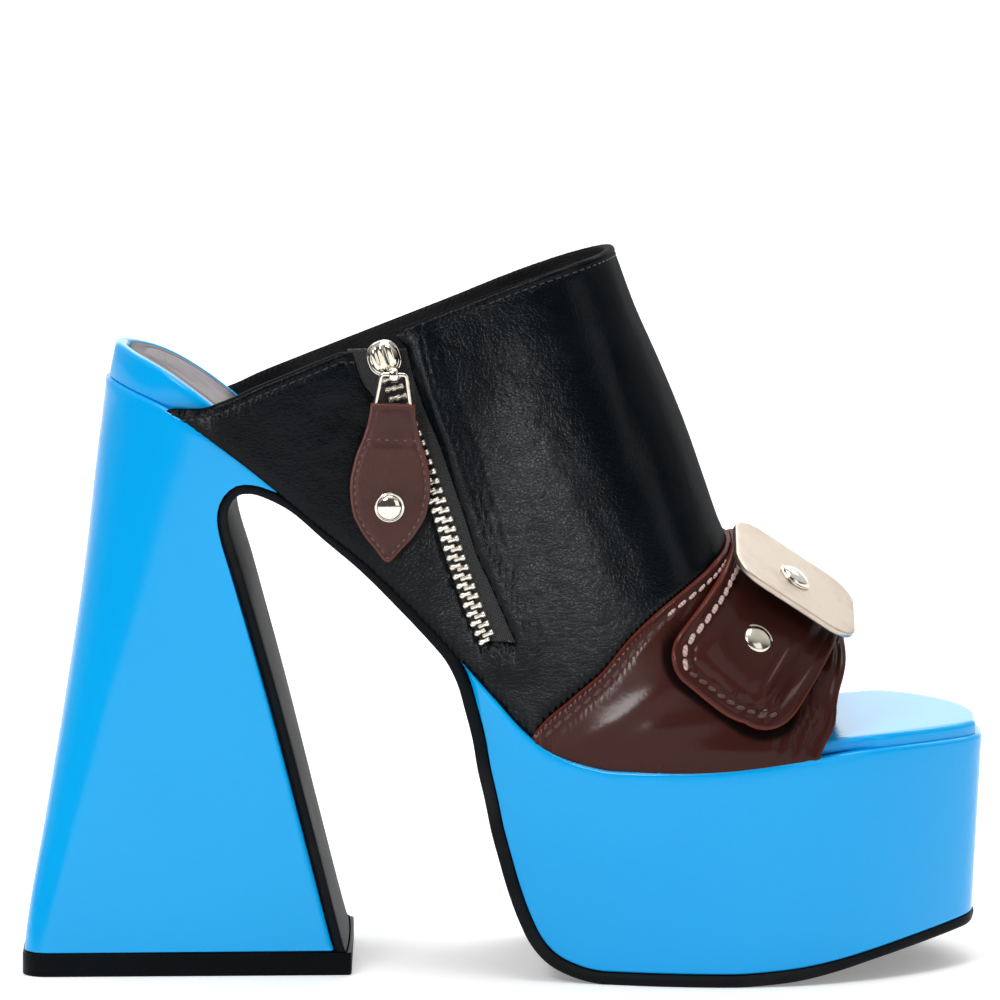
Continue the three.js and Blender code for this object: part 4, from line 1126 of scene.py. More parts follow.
def underCollar(point):
    fall = shoe["collarDrop"] / (2 * shoe["ankleHalfWidth"])
    return collar(point[..., 0]) - shoe["collarDrop"] / 2 - fall * point[..., 1] - point[..., 2]


def onUpper(plane, depth):
    # a place on the upper from its flat pattern: X, then the turn times its scale
    x = plane[:, 0]
    turn = np.clip(plane[:, 1] / turnScale, -0.01, 1.01)
    return upperPoint(x, turn) + upperNormal(x, turn) * np.reshape(depth, (-1, 1))


def resample(line, spacing):
    line = np.asarray(line, float)
    length = lengthAlong(line)
    count = max(int(round(length[-1] / spacing)), 2)
    marks = np.linspace(0, length[-1], count + 1)
    return np.stack([np.interp(marks, length, line[:, k]) for k in range(line.shape[1])], 1)


def insetLine(line, distance, at, closed=True):
    # moves a line of the flat pattern to its left by a distance measured on the leather
    place = at(line, 0)
    if closed:
        ahead = np.roll(place, -1, 0) - np.roll(place, 1, 0)
    else:
        ahead = np.gradient(place, axis=0)
    ahead /= np.linalg.norm(ahead, axis=1)[:, None] + 1e-9
    step = 0.4
    across = (at(line + (step, 0), 0) - at(line - (step, 0), 0)) / (2 * step)
    upward = (at(line + (0, step), 0) - at(line - (0, step), 0)) / (2 * step)
    normal = np.cross(across, upward)
    normal /= np.linalg.norm(normal, axis=1)[:, None] + 1e-9
    left = np.cross(normal, ahead)
    a = (across * across).sum(1)
    b = (across * upward).sum(1)
    c = (upward * upward).sum(1)
    p = (across * left).sum(1) * distance
    q = (upward * left).sum(1) * distance
    room = a * c - b * b + 1e-9
    return line + np.stack([(c * p - b * q) / room, (a * q - b * p) / room], 1)


def insideLoop(points, loop):
    # which points lie inside a closed line, by the edges that a level line from each one crosses
    inside = np.zeros(len(points), bool)
    x, y = points[:, 0], points[:, 1]
    for (x1, y1), (x2, y2) in zip(loop, np.roll(loop, -1, 0)):
        crosses = (y1 > y) != (y2 > y)
        if crosses.any():
            at = (x2 - x1) * (y - y1) / (y2 - y1 + 1e-12) + x1
            inside ^= crosses & (x < at)
    return inside


def distanceTo(points, line):
    # distance from each point to the nearest point of a finely divided line
    tree = KDTree(len(line))
    for i, point in enumerate(line):
        tree.insert(point, i)
    tree.balance()
    return np.array([tree.find(point)[2] for point in points])


def roundedEdge(distance, radius):
    # the fall of a rounded edge at a distance from it
    inside = np.clip(1 - distance / radius, 0, 1)
    return radius * (1 - np.sqrt(np.maximum(1 - inside**2, 0)))


# Leather meshes: how near the cut edge, and how near each other, points of the flat pattern may lie
sewing = dict(edgeStep=0.4, ringShare=0.93, latticeShare=0.55, nearEdge=0.7, nearShare=0.62)


def sewnLeather(
    name, loop, at, top, bottom, spacing, rings, materials, body="shoe", edgeRound=0.8, grid=None,
    levels=None, paintedShadow=None, fair=False,
):
    # a piece of leather cut to a loop of its flat pattern, with a rounded cut edge and a lining side
    flat = [loop]
    edgeLine = at(resample(np.vstack([loop, loop[:1]]), sewing["edgeStep"]), 0)
    for ring in rings:
        candidate = insetLine(loop, ring, at)
        gap = distanceTo(at(candidate, 0), edgeLine)
        flat.append(candidate[(gap > sewing["ringShare"] * ring) & insideLoop(candidate, loop)])
    low, high = loop.min(0), loop.max(0)
    stepX, stepY = grid or (spacing, spacing)
    columns = np.arange(low[0], high[0], stepX)
    levels = np.arange(low[1], high[1], stepY) if levels is None else levels
    lattice = np.stack(np.meshgrid(columns, levels), -1).reshape(-1, 2)
    lattice = lattice[insideLoop(lattice, loop)]
    gap = distanceTo(at(lattice, 0), edgeLine)
    clear = rings[-1] + spacing * sewing["latticeShare"]
    flat.append(lattice[gap > clear])
    near = lattice[(gap > sewing["nearEdge"]) & (gap <= clear)]
    if len(near):
        held = np.concatenate(flat)
        room = distanceTo(at(near, 0), at(held, 0))
        flat.append(near[room > sewing["nearShare"] * spacing])
    plane = np.concatenate(flat)
    count = len(loop)
    flatPoints = [Vector(p) for p in plane]
    vertices, _, triangles, origins = delaunay_2d_cdt(flatPoints, [], [list(range(count))], 1, 1e-6)[:4]
    order = [source[0] if source else -1 for source in origins]
    plane = np.array([tuple(v) for v in vertices])
    edgeIndex = [order.index(i) for i in range(count)]
    distance = distanceTo(at(plane, 0), edgeLine)
    distance[edgeIndex] = 0
    outer = at(plane, top(plane, distance) - roundedEdge(distance, edgeRound))
    inner = at(plane, bottom if np.isscalar(bottom) else bottom(plane, distance))
    total = len(plane)
    points = np.concatenate([outer, inner])
    faces = [tuple(face) for face in triangles]
    slots = [0] * len(faces)
    faces += [tuple(i + total for i in reversed(face)) for face in triangles]
    slots += [1] * len(triangles)
    for a, b in zip(edgeIndex, edgeIndex[1:] + edgeIndex[:1]):
        faces.append((b, a, a + total, b + total))
        slots.append(0)
    values = {"edge": np.concatenate([distance, distance])}
    # painted shadow: values stored on the mesh for the material to darken
    if paintedShadow:
        shadow = paintedShadow(plane)
        values["paintedShadow"] = np.concatenate([shadow, shadow])
    piece = newPiece(name, points, faces, materials, body, slots, values)
    leatherPieces.objects.link(piece)
    if fair:
        fairNormals(piece, plane, distance, edgeLine, at, top, edgeRound)
    return piece


def fairNormals(piece, plane, distance, edgeLine, at, top, edgeRound):
    # shading normals of the leather's face taken from its own surface, away from the cut edge
    step = 0.35

    def moved(shift):
        moving = plane + shift
        gap = distanceTo(at(moving, 0), edgeLine)
        return at(moving, top(moving, gap))

    here = at(plane, top(plane, distance))
    normal = np.cross(moved((step, 0)) - here, moved((0, step)) - here)
    mesh = piece.data
    own = np.zeros(len(mesh.vertices) * 3, np.float32)
    mesh.vertices.foreach_get("normal", own)
    own = own.reshape(-1, 3)
    normal /= np.linalg.norm(normal, axis=1)[:, None] + 1e-12
    normal *= np.sign((normal * own[: len(plane)]).sum(1))[:, None]
    share = smooth(distance, edgeRound + 0.1, edgeRound + 0.6)[:, None]
    mixed = own.copy()
    mixed[: len(plane)] = own[: len(plane)] * (1 - share) + normal * share
    mixed /= np.linalg.norm(mixed, axis=1)[:, None] + 1e-12
    mesh.normals_split_custom_set_from_vertices(mixed.tolist())


# Rows of stitches and teeth, laid by Geometry Nodes along a line that carries its own upward direction

def makeRowTree():
    tree = bpy.data.node_groups.new("rowAlongLine", "GeometryNodeTree")
    for label, kind, value in (
        ("Geometry", "Geometry", None), ("Pitch", "Float", 0.0025), ("Turn", "Float", 0.0),
        ("Scatter", "Float", 0.03), ("Seed", "Int", 7), ("Piece", "Object", None),
        ("Finish", "Material", None),
    ):
        socket = tree.interface.new_socket(label, in_out="INPUT", socket_type="NodeSocket" + kind)
        if value is not None:
            socket.default_value = value
    tree.interface.new_socket("Geometry", in_out="OUTPUT", socket_type="NodeSocketGeometry")
    given = tree.nodes.new("NodeGroupInput").outputs
    leave = tree.nodes.new("NodeGroupOutput")
    curve = addNode(tree, "GeometryNodeMeshToCurve", Mesh=given["Geometry"])
    spaced = addNode(
        tree, "GeometryNodeResampleCurve", {"mode": "LENGTH"}, Curve=curve.outputs[0], Length=given["Pitch"],
    )
    info = addNode(tree, "GeometryNodeObjectInfo", Object=given["Piece"])
    up = addNode(tree, "GeometryNodeInputNamedAttribute", {"data_type": "FLOAT_VECTOR"}, Name="up")
    tangent = addNode(tree, "GeometryNodeInputTangent")
    alongLine = addNode(tree, "FunctionNodeAlignRotationToVector", {"axis": "X"}, Vector=tangent.outputs[0])
    upright = addNode(
        tree, "FunctionNodeAlignRotationToVector", {"axis": "Z", "pivot_axis": "X"},
        Rotation=alongLine.outputs[0], Vector=up.outputs["Attribute"],
    )
    jitter = addNode(tree, "FunctionNodeRandomValue", {"data_type": "FLOAT"}, Seed=given["Seed"])
    feed(tree, jitter.inputs[2], mathNode(tree, "MULTIPLY", given["Scatter"], -1))
    feed(tree, jitter.inputs[3], given["Scatter"])
    angle = addNode(tree, "ShaderNodeCombineXYZ", Z=mathNode(tree, "ADD", jitter.outputs[1], given["Turn"]))
    twist = addNode(
        tree, "FunctionNodeRotateRotation", {"rotation_space": "LOCAL"},
        Rotation=upright.outputs[0], Rotate_By=angle.outputs[0],
    )
    points = addNode(
        tree, "GeometryNodeInstanceOnPoints",
        Points=spaced.outputs[0], Instance=info.outputs["Geometry"], Rotation=twist.outputs[0],
    )
    real = addNode(tree, "GeometryNodeRealizeInstances", Geometry=points.outputs[0])
    finish = addNode(tree, "GeometryNodeSetMaterial", Geometry=real.outputs[0], Material=given["Finish"])
    setSockets(tree, leave, Geometry=finish.outputs[0])
    return tree


rowTree = makeRowTree()


def templatePiece(points, faces):
    mesh = bpy.data.meshes.new("template")
    mesh.from_pydata((np.asarray(points, float) * mm).tolist(), [], faces)
    mesh.polygons.foreach_set("use_smooth", [True] * len(mesh.polygons))
    piece = addObject("template", mesh)
    faceOut(piece)
    return piece


def capsule(length, width, height):
    # one stitch: a thread that rises from its hole and goes down again
    rings = []
    sides = 8
    for t, share in ((-1, 0.35), (-0.86, 0.72), (-0.5, 0.96), (0, 1), (0.5, 0.96), (0.86, 0.72), (1, 0.35)):
        radius = width / 2 * share
        rise = height * (1 - 0.8 * t * t)
        for angle in fullTurn(sides):
            rings.append((length / 2 * t, radius * math.cos(angle), rise + radius * math.sin(angle)))
    return rings, cappedFaces(len(rings) // sides, sides)


def layRows(name, lines, pitch, template, material, body="shoe", turn=0.0, scatter=0.03):
    # lines are pairs of places and upward directions in millimetres
    parts = []
    for places, ups in lines:
        places = np.asarray(places, float).copy()
        places[:, 1] += acrossShift
        mesh = bpy.data.meshes.new(name + "Line")
        mesh.from_pydata((places * mm).tolist(), [(i, i + 1) for i in range(len(places) - 1)], [])
        layer = mesh.attributes.new("up", "FLOAT_VECTOR", "POINT")
        layer.data.foreach_set("vector", np.asarray(ups, np.float32).ravel())
        guide = addObject(name + "Line", mesh)
        modifier = guide.modifiers.new("row", "NODES")
        modifier.node_group = rowTree
        chosen = dict(Pitch=pitch * mm, Turn=turn, Scatter=scatter, Piece=template, Finish=material)
        for item in rowTree.interface.items_tree:
            if item.in_out == "INPUT" and item.name in chosen:
                modifier[item.identifier] = chosen[item.name]
        evaluated = guide.evaluated_get(bpy.context.evaluated_depsgraph_get())
        parts.append(bpy.data.meshes.new_from_object(evaluated))
        bpy.data.objects.remove(guide)
    shape = bmesh.new()
    for part in parts:
        shape.from_mesh(part)
    mesh = bpy.data.meshes.new(name)
    shape.to_mesh(mesh)
    shape.free()
    mesh.materials.clear()
    mesh.materials.append(material)
    mesh.polygons.foreach_set("material_index", [0] * len(mesh.polygons))
    mesh.polygons.foreach_set("use_smooth", [True] * len(mesh.polygons))
    piece = addObject(name, mesh)
    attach(piece, body)
    return piece


def stitchLine(line, distance, at, depth):
    # a stitch row at a distance from a line of the flat pattern, with the leather's own normals
    row = insetLine(line, distance, at, closed=False)
    low = at(row, depth)
    return low, at(row, depth + 1) - low


def fromLine(x, z, atX, atZ, leanX, leanZ):
    # distance from a straight line through a place, seen from the side
    return ((x - atX) * leanZ - (z - atZ) * leanX) / math.hypot(leanX, leanZ)


def softMarks(x, z, marks):
    # soft long marks seen from the side, each with its centre, lean, half width, half length and depth
    total = 0
    for atX, atZ, leanX, leanZ, wide, tall, deep in marks:
        ahead = ((x - atX) * leanX + (z - atZ) * leanZ) / math.hypot(leanX, leanZ)
        total = total + deep * bump(fromLine(x, z, atX, atZ, leanX, leanZ), 0, wide) * bump(ahead, 0, tall)
    return total


# Vamp with the zip's opening

vamp = dict(
    spacing=2.0, underStrap=1.0, hem=2.3, hemPuff=0.32, hemDip=0.3,
    zipRow=4.5, zipRowTwo=6.2, sewnDip=0.22, stitchPitch=2.2, stitch=(1.5, 0.36, 0.1),
    fold=0.45, foldAt=3.6, foldWidth=3.6, pillow=1.2, pillowX=(-14.5, 9.5), pillowZ=(147, 22), facing=0.3,
)
vampCreases = [
    (-6, 128, 0.35, -1, 3.2, 26, 0.2), (8, 112, 0.3, -1, 2.6, 20, 0.2), (24, 118, 0.5, -1, 3.4, 22, 0.2),
    (-34, 138, 1, -0.4, 2.4, 9, 0.2), (-42, 143, 1, 0.5, 2.2, 5, 0.2), (-38, 134, 1, 0.9, 1.8, 6, 0.2),
    (-45, 137, 0.4, 1, 1.6, 4, 0.2), (-12, 150, 1, 0.6, 2.4, 6, 0.2), (-16, 144, 1, 0.2, 1.8, 5, 0.2),
    (4, 152, 1, 0.3, 2.6, 9, 0.2),
]


def zipEdge(column, sign, rises):
    x = along(through(zipLine, 1)(rises)) + sign * through(zipLine, column)(rises)
    return x, rises * shoe["seatRise"]


def zipOpening():
    rises = np.linspace(zipLine[0][0], zipLine[-1][0], 60)
    edges = []
    for column, sign in ((2, -1), (3, 1)):
        x, z = zipEdge(column, sign, rises)
        turn = turnAt(x, z)
        keep = underCollar(upperPoint(x, turn)) > 0
        edges.append(np.stack([x, turn * turnScale], 1)[keep])
    return edges


def spreadTurns(count=170):
    # turns spaced evenly along the middle section of the upper
    turns = np.linspace(tuck, 1 - tuck, 1200)
    places = upperPoint(along(middleSection), turns)
    length = lengthAlong(places)
    return np.interp(np.linspace(0, length[-1], count), length, turns)


def seamTest(point):
    return seamHeight(point[..., 0] - vamp["underStrap"]) - point[..., 2]


def onPlane(turns, x):
    return np.stack([x, turns * turnScale], 1)


def patternLoop(parts, spacing):
    # joins open lines of the flat pattern end to end and spaces them evenly
    return np.concatenate([resample(part, spacing)[:-1] for part in parts])


def vampLines():
    turns = spreadTurns()
    collarX = solveX(turns, underCollar)
    seamX = solveX(turns, seamTest)
    collarRow = onPlane(turns, collarX)
    back, ahead = zipOpening()
    behind = collarRow[collarRow[:, 1] < back[-1, 1] - 0.3]
    over = collarRow[collarRow[:, 1] > ahead[-1, 1] + 0.3]
    behind = np.vstack([behind, back[-1:]])
    over = np.vstack([ahead[-1:], over])
    seamRow = onPlane(turns, seamX)[::-1]
    return behind, back[::-1], ahead, over, seamRow


def buildVamp():
    behind, down, upAgain, over, seamRow = vampLines()
    foot = np.vstack([down[-1:], upAgain[:1]])
    medialFoot = np.vstack([over[-1:], seamRow[:1]])
    lateralFoot = np.vstack([seamRow[-1:], behind[:1]])
    loop = patternLoop([behind, down, foot, upAgain, over, medialFoot, seamRow, lateralFoot], 1.5)[::-1]
    hemLine = onUpper(resample(np.vstack([behind, over[1:]]), 0.5), 0)
    zipLines = onUpper(resample(np.vstack([down, upAgain]), 0.5), 0)
    placketLine = onUpper(resample(upAgain, 0.5), 0)

    def top(plane, distance):
        place = onUpper(plane, 0)
        x, y, z = place.T
        hem, placket, zipSide = (distanceTo(place, line) for line in (hemLine, placketLine, zipLines))
        depth = vamp["hemPuff"] * bump(hem, 1.2, 0.9) - vamp["hemDip"] * bump(hem, vamp["hem"], 0.5)
        high = 0.45 + 0.55 * smooth(z, 96, 138)
        fold = vamp["fold"] * high * bump(placket, vamp["foldAt"], vamp["foldWidth"])
        depth += fold * smooth(zipSide, 0.1, 1.4)
        depth += vamp["facing"] * smooth(placket, 8.2, 6.8) * smooth(zipSide, 0.2, 1.4)
        for row in (vamp["zipRow"], vamp["zipRowTwo"]):
            depth -= vamp["sewnDip"] * bump(placket, row, 0.5)
        lateralSide = smooth(y, 6, -10)
        pillow = vamp["pillow"] * bump(x, *vamp["pillowX"]) * bump(z, *vamp["pillowZ"])
        depth += lateralSide * pillow * smooth(zipSide, 0.2, 3)
        return depth - lateralSide * softMarks(x, z, vampCreases)

    piece = sewnLeather(
        "vampLeather", loop, onUpper, top, -shoe["vampWall"], vamp["spacing"],
        (0.08, 0.3, 0.7, 1.2, 1.8, 2.3, 2.8, 3.5, 4.1, 4.5, 5.0, 5.7, 6.2, 6.8), [blackLeather, blackLining],
        levels=spreadTurns(125) * turnScale,
    )
    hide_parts("vamp")
    stitch = templatePiece(*capsule(*vamp["stitch"]))
    rows = []
    for line, distance in (
        (resample(behind, 1.0)[6:][::-1], vamp["hem"]),
        (resample(over, 1.0)[:-6][::-1], vamp["hem"]),
        (resample(upAgain, 1.0)[::-1], vamp["zipRow"]),
        (resample(upAgain, 1.0)[::-1], vamp["zipRowTwo"]),
    ):
        rows.append(stitchLine(line, distance, onUpper, -0.05))
    layRows("vampStitches", rows, vamp["stitchPitch"], stitch, blackThread)
    bpy.data.objects.remove(stitch)


buildVamp()
print("vamp ready")


# Toe strap, wrapped round the forefoot, and the measures of the belt that crosses it

belt = dict(
    pitch=36, back=-17.0, front=18.0, end=88.4, corner=9.0, spacing=1.4, sewn=3.1, stitchPitch=3.4, lift=2.3,
)
beltCos = math.cos(math.radians(belt["pitch"]))
beltSin = math.sin(math.radians(belt["pitch"]))
beltDepth = shoe["strapStep"] + seam
beltTop = beltDepth + shoe["beltThickness"]

# one value is the reach in millimetres of the painted shadow past the belt's edge, another the height above
# which the lateral stitches take pale thread as painted light
strap = dict(
    spacing=1.7, hemWidth=3.0, hemPuff=0.35, hemDip=0.14, frontHem=0.25, wave=0.45, dent=1.0,
    paintedShadow=3.2, swell=0.4, stitchPitch=3.3, stitch=(2.7, 1.05, 0.16), paintedLitFrom=95,
)
# Swells beside the strap's foot: a line's place and lean, half width, middle and half length, height
strapSwells = [(34, 62.5, 1, -0.27, 8, 44, 30, 1.0), (66, 58, 1, -0.2, 3.2, 66, 14, 0.4)]
# Folds beside the strap's front edge: distance from it, depth and half width
strapFolds = [(4.2, 0.3, 0.9), (7.4, 0.42, 1.1), (11.2, 0.34, 1.3)]
strapRidges = [
    (30, 68, 1, 0.62, 2.6, 16, 0.3), (44, 66, 1, 0.16, 2.2, 14, 0.22), (62, 60, 1, 0.02, 1.8, 12, 0.2),
]
# Folds of the belt's end: distance ahead of the belt's middle line, depth and half width
beltFolds = [(7.4, 0.3, 1.0), (11.2, 0.5, 1.1), (14.6, 0.3, 0.8)]


def strapLines():
    turns = spreadTurns(200)
    seamX = solveX(turns, lambda p: seamHeight(p[..., 0] - seam) - seam - p[..., 2])

    def pastFront(point):
        height = point[..., 2] / shoe["ridgeRise"]
        wave = strap["wave"] * np.sin(point[..., 2] * 0.42) * smooth(point[..., 2], 56, 64)
        return point[..., 0] - along(frontShare(height)) - wave

    frontX = solveX(turns, pastFront)
    return onPlane(turns, seamX), onPlane(turns, frontX)


def beltShare(plane):
    # how far a place of the upper lies inside the belt's lateral outline, in millimetres
    x, y, z = onUpper(plane, 0).T
    ahead = x * beltCos - z * beltSin
    up = z * beltCos + x * beltSin
    corner = belt["corner"]
    middle = (belt["back"] + belt["front"]) / 2
    half = (belt["front"] - belt["back"]) / 2
    sideways = np.abs(ahead - middle) - (half - corner)
    down = belt["end"] + corner - up
    outside = np.hypot(np.maximum(sideways, 0), np.maximum(down, 0))
    reach = outside + np.minimum(np.maximum(sideways, down), 0)
    lateralSide = smooth(y, 4, -8)
    return (corner - reach) * lateralSide - 20 * (1 - lateralSide)


def underBelt(plane):
    return smooth(beltShare(plane), -1.5, 3)


def paintedShadowAtBelt(plane):
    # painted shadow: dark just outside the belt's lower edge, where the belt stands off the strap
    x, _, z = onUpper(plane, 0).T
    lower = smooth(z * beltCos + x * beltSin, belt["end"] + 17, belt["end"] + 4)
    return 0.94 * smooth(-beltShare(plane), strap["paintedShadow"], 0.6 * strap["paintedShadow"]) * lower


def buildStrap():
    backRow, frontRow = strapLines()
    lateralFoot = np.vstack([frontRow[:1], backRow[:1]])
    medialFoot = np.vstack([backRow[-1:], frontRow[-1:]])
    loop = patternLoop([backRow, medialFoot, frontRow[::-1], lateralFoot], 1.3)[::-1]
    backLine = onUpper(resample(backRow, 0.5), 0)
    frontLine = onUpper(resample(frontRow, 0.5), 0)

    def top(plane, distance):
        place = onUpper(plane, 0)
        x, y, z = place.T
        hem, front = distanceTo(place, backLine), distanceTo(place, frontLine)
        depth = shoe["strapStep"] + strap["hemPuff"] * bump(hem, 1.3, 1.1)
        depth -= strap["hemDip"] * bump(hem, strap["hemWidth"], 1.0) + strap["dent"] * underBelt(plane)
        beside = smooth(y, -30, -40)
        for *line, wide, middle, reach, share in strapSwells:
            swell = share * strap["swell"] * bump(fromLine(x, z, *line), 0, wide) * bump(x, middle, reach)
            depth += beside * swell
        depth += strap["frontHem"] * (bump(front, 1.2, 0.9) - bump(front, 2.6, 0.6))
        outer = smooth(np.abs(y), 14, 26)
        low = outer * smooth(z, 56, 63) * smooth(z, 92, 78)
        for shift, deep, wide in strapFolds:
            lean = shift + 0.06 * (z - 62)
            depth -= deep * low * (bump(front, lean, wide) - 0.6 * bump(front, lean + 1.6, wide))
        return depth + outer * softMarks(x, z, strapRidges)

    # the strap carries a painted shadow beside the belt's lower edge
    piece = sewnLeather(
        "toeStrapPatent", loop, onUpper, top, -shoe["vampWall"], strap["spacing"],
        (0.08, 0.3, 0.7, 1.2, 1.9, 2.5, 3.1, 3.9, 4.8), [brownPatent, blackLining], grid=(1.1, 1),
        levels=spreadTurns(170) * turnScale, paintedShadow=paintedShadowAtBelt, fair=True,
    )
    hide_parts("toe_strap")
    # painted light on real stitches: the hem's one row takes pale thread as its lit part, near the top and on
    # the medial side, and brown thread as its shaded part lower on the lateral side
    hem = resample(backRow, 1.0)[::-1][3:-3]
    _, side, height = onUpper(hem, 0).T
    paintedLit = (side > -10) | (height > strap["paintedLitFrom"])
    stitch = templatePiece(*capsule(*strap["stitch"]))
    for name, part, inward, thread in (
        ("strapStitches", hem[paintedLit], 0.7, paleThread), ("strapFootStitches", hem[~paintedLit], 0, brownThread),
    ):
        rows = [stitchLine(part, strap["hemWidth"] - inward, onUpper, shoe["strapStep"] - 0.2)]
        layRows(name, rows, strap["stitchPitch"], stitch, thread, turn=0.1)
    bpy.data.objects.remove(stitch)


buildStrap()
print("strap ready")


# Belt of the buckle, over the strap and square to the ridge

def onBelt(plane, depth):
    # a place on the belt from its flat pattern: the distance along the ridge, then the turn times its scale
    turn = np.clip(plane[:, 1] / turnScale, -0.01, 1.01)
    x = solveX(turn, lambda p: p[..., 0] * beltCos - p[..., 2] * beltSin - plane[:, 0])
    return upperPoint(x, turn) + upperNormal(x, turn) * np.reshape(depth, (-1, 1))


def beltPattern(ahead, up):
    x = ahead * beltCos + up * beltSin
    z = up * beltCos - ahead * beltSin
    return np.stack([ahead, turnAt(x, z) * turnScale], 1)


def beltLines():
    corner, end = belt["corner"], belt["end"]
    angle = np.linspace(0, math.pi / 2, 14)
    low = end + corner
    backArc = beltPattern(belt["back"] + corner - corner * np.cos(angle), low - corner * np.sin(angle))
    frontArc = beltPattern(belt["front"] - corner + corner * np.sin(angle), low - corner * np.cos(angle))
    medialEnd = (1 - tuck) * turnScale
    backRow = np.stack([np.full(60, belt["back"]), np.linspace(medialEnd, backArc[0, 1], 60)], 1)
    frontRow = np.stack([np.full(60, belt["front"]), np.linspace(frontArc[-1, 1], medialEnd, 60)], 1)
    return backRow, backArc, frontArc, frontRow


def beltLift(plane):
    # the belt's end stands off the strap
    x, y, z = onBelt(plane, 0).T
    level = z * beltCos + x * beltSin
    return belt["lift"] * smooth(level, belt["end"] + 20, belt["end"] + 2) * smooth(y, 0, -10)


def beltStitches(line):
    row = insetLine(line, belt["sewn"], onBelt, closed=False)
    depth = beltTop - 0.6 + beltLift(row)
    low = onBelt(row, depth)
    return low, onBelt(row, depth + 1) - low


def buildBelt():
    backRow, backArc, frontArc, frontRow = beltLines()
    endRow = np.vstack([backArc[-1:], frontArc[:1]])
    medialRow = np.vstack([frontRow[-1:], backRow[:1]])
    loop = patternLoop([backRow, backArc, endRow, frontArc, frontRow, medialRow], 1.1)

    def top(plane, distance):
        depth = beltTop - 0.45 + beltLift(plane)
        depth -= 0.42 * bump(distance, belt["sewn"] + 1.3, 0.7)
        depth += 0.22 * bump(distance, 1.2, 0.8)
        depth += 0.7 * smooth(distance, belt["sewn"] + 1.4, belt["sewn"] + 5)
        ahead, turn = plane[:, 0], plane[:, 1]
        low = smooth(turn, 62, 40)
        low = low * smooth(distance, 1.2, 3)
        for fold, deep, wide in beltFolds:
            lean = fold + 0.05 * (turn - 26)
            depth -= deep * low * (bump(ahead, lean, wide) - 0.6 * bump(ahead, lean + 1.7, wide))
        return depth

    def bottom(plane, distance):
        return beltDepth - 0.15 + beltLift(plane) + roundedEdge(distance, 0.5)

    piece = sewnLeather(
        "beltPatent", loop, onBelt, top, bottom, belt["spacing"],
        (0.08, 0.25, 0.6, 1.1, 1.7, 2.3, 2.9, 3.3, 3.8, 4.5, 5.3), [brownPatent, brownPatent], edgeRound=0.8,
        grid=(1.4, 0.9), fair=True,
    )
    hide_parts("buckle_strap")
    backSide = resample(np.vstack([backRow, backArc[:9]]), 0.8)[7:]
    endSide = resample(np.vstack([backArc[9:], frontArc[:8]]), 0.8)
    for name, side, size, pitch, thread, turn in (
        ("beltStitches", backSide, (2.9, 1.3, 0.2), belt["stitchPitch"], paleThread, 0.16),
        ("beltEndStitches", endSide, (2.2, 1.0, 0.2), belt["stitchPitch"] * 0.8, brownThread, 0.3),
    ):
        stitch = templatePiece(*capsule(*size))
        layRows(name, [beltStitches(side)], pitch, stitch, thread, turn=turn)
        bpy.data.objects.remove(stitch)


buildBelt()
print("belt ready")


# The buckle's plate and the studs

def frameOn(x, turn, depth):
    # a frame on the upper: ahead along the leather, across it, and out of it
    out = Vector(upperNormal(np.array([x]), np.array([turn]))[0])
    ahead = Vector((1, 0, 0)) - out * out.x
    ahead.normalize()
    across = out.cross(ahead)
    origin = Vector(upperPoint(x, turn)) + out * depth
    matrix = Matrix((ahead, across, out)).transposed().to_4x4()
    matrix.translation = origin
    return matrix


def roundedLoop(length, width, corner, steps=10):
    a = length / 2 - corner
    b = width / 2 - corner
    points = []
    for cx, cy, start in ((a, b, 0), (-a, b, 90), (-a, -b, 180), (a, -b, 270)):
        for k in range(steps + 1):
            angle = math.radians(start + 90 * k / steps)
            points.append((cx + corner * math.cos(angle), cy + corner * math.sin(angle)))
    return np.array(points)


def plateSolid(loop, thickness, bevel, dish=0.0):
    # a flat metal plate with rounded rims and a slightly crowned face
    middle = loop.mean(0)
    rings = []
    reach = np.linalg.norm(loop - middle, axis=1).max()
    steps = rimSteps(bevel, 4)
    levels = [(1 - inset / reach, rise) for inset, rise in steps]
    levels += [(1 - inset / reach, thickness - drop) for inset, drop in reversed(steps)]
    levels += [(share, thickness + dish * (1 - share**2)) for share in (0.92, 0.75, 0.5, 0.25)]
    for share, level in levels:
        rings.append(np.column_stack([middle + (loop - middle) * share, np.full(len(loop), level)]))
    around = len(loop)
    points = np.concatenate(rings + [[(*middle, 0)], [(*middle, thickness + dish)]])
    faces = ringFaces(len(rings), around)
    base, crown = len(points) - 2, len(points) - 1
    last = (len(rings) - 1) * around
    for j in range(around):
        following = (j + 1) % around
        faces.append((base, following, j))
        faces.append((crown, last + j, last + following))
    return points, faces


def studSolid(radius, height):
    # a low collar with a groove, then a round head
    rimRows = [(0.97, 0), (1, 0.12), (1, 0.42), (0.985, 0.52), (0.93, 0.56), (0.885, 0.5)]
    profile = [(radius * share, rise) for share, rise in rimRows]
    for k in range(12):
        angle = math.pi / 2 * k / 12
        profile.append((radius * 0.86 * math.cos(angle), 0.5 + (height - 0.5) * math.sin(angle) ** 0.9))
    return lathe(profile + [(0.02, height)], 48)


plate = dict(
    length=36.5, width=31.0, thickness=1.6, corner=8.0, bevel=0.45, crown=0.25,
    lift=3.9, at=0.764, turn=0.384, pitch=5, lug=3.0, lugDrop=3.0, studAt=(-0.6, -1.5),
)
stud = dict(radius=4.4, height=2.0, at=0.733, rise=0.562)


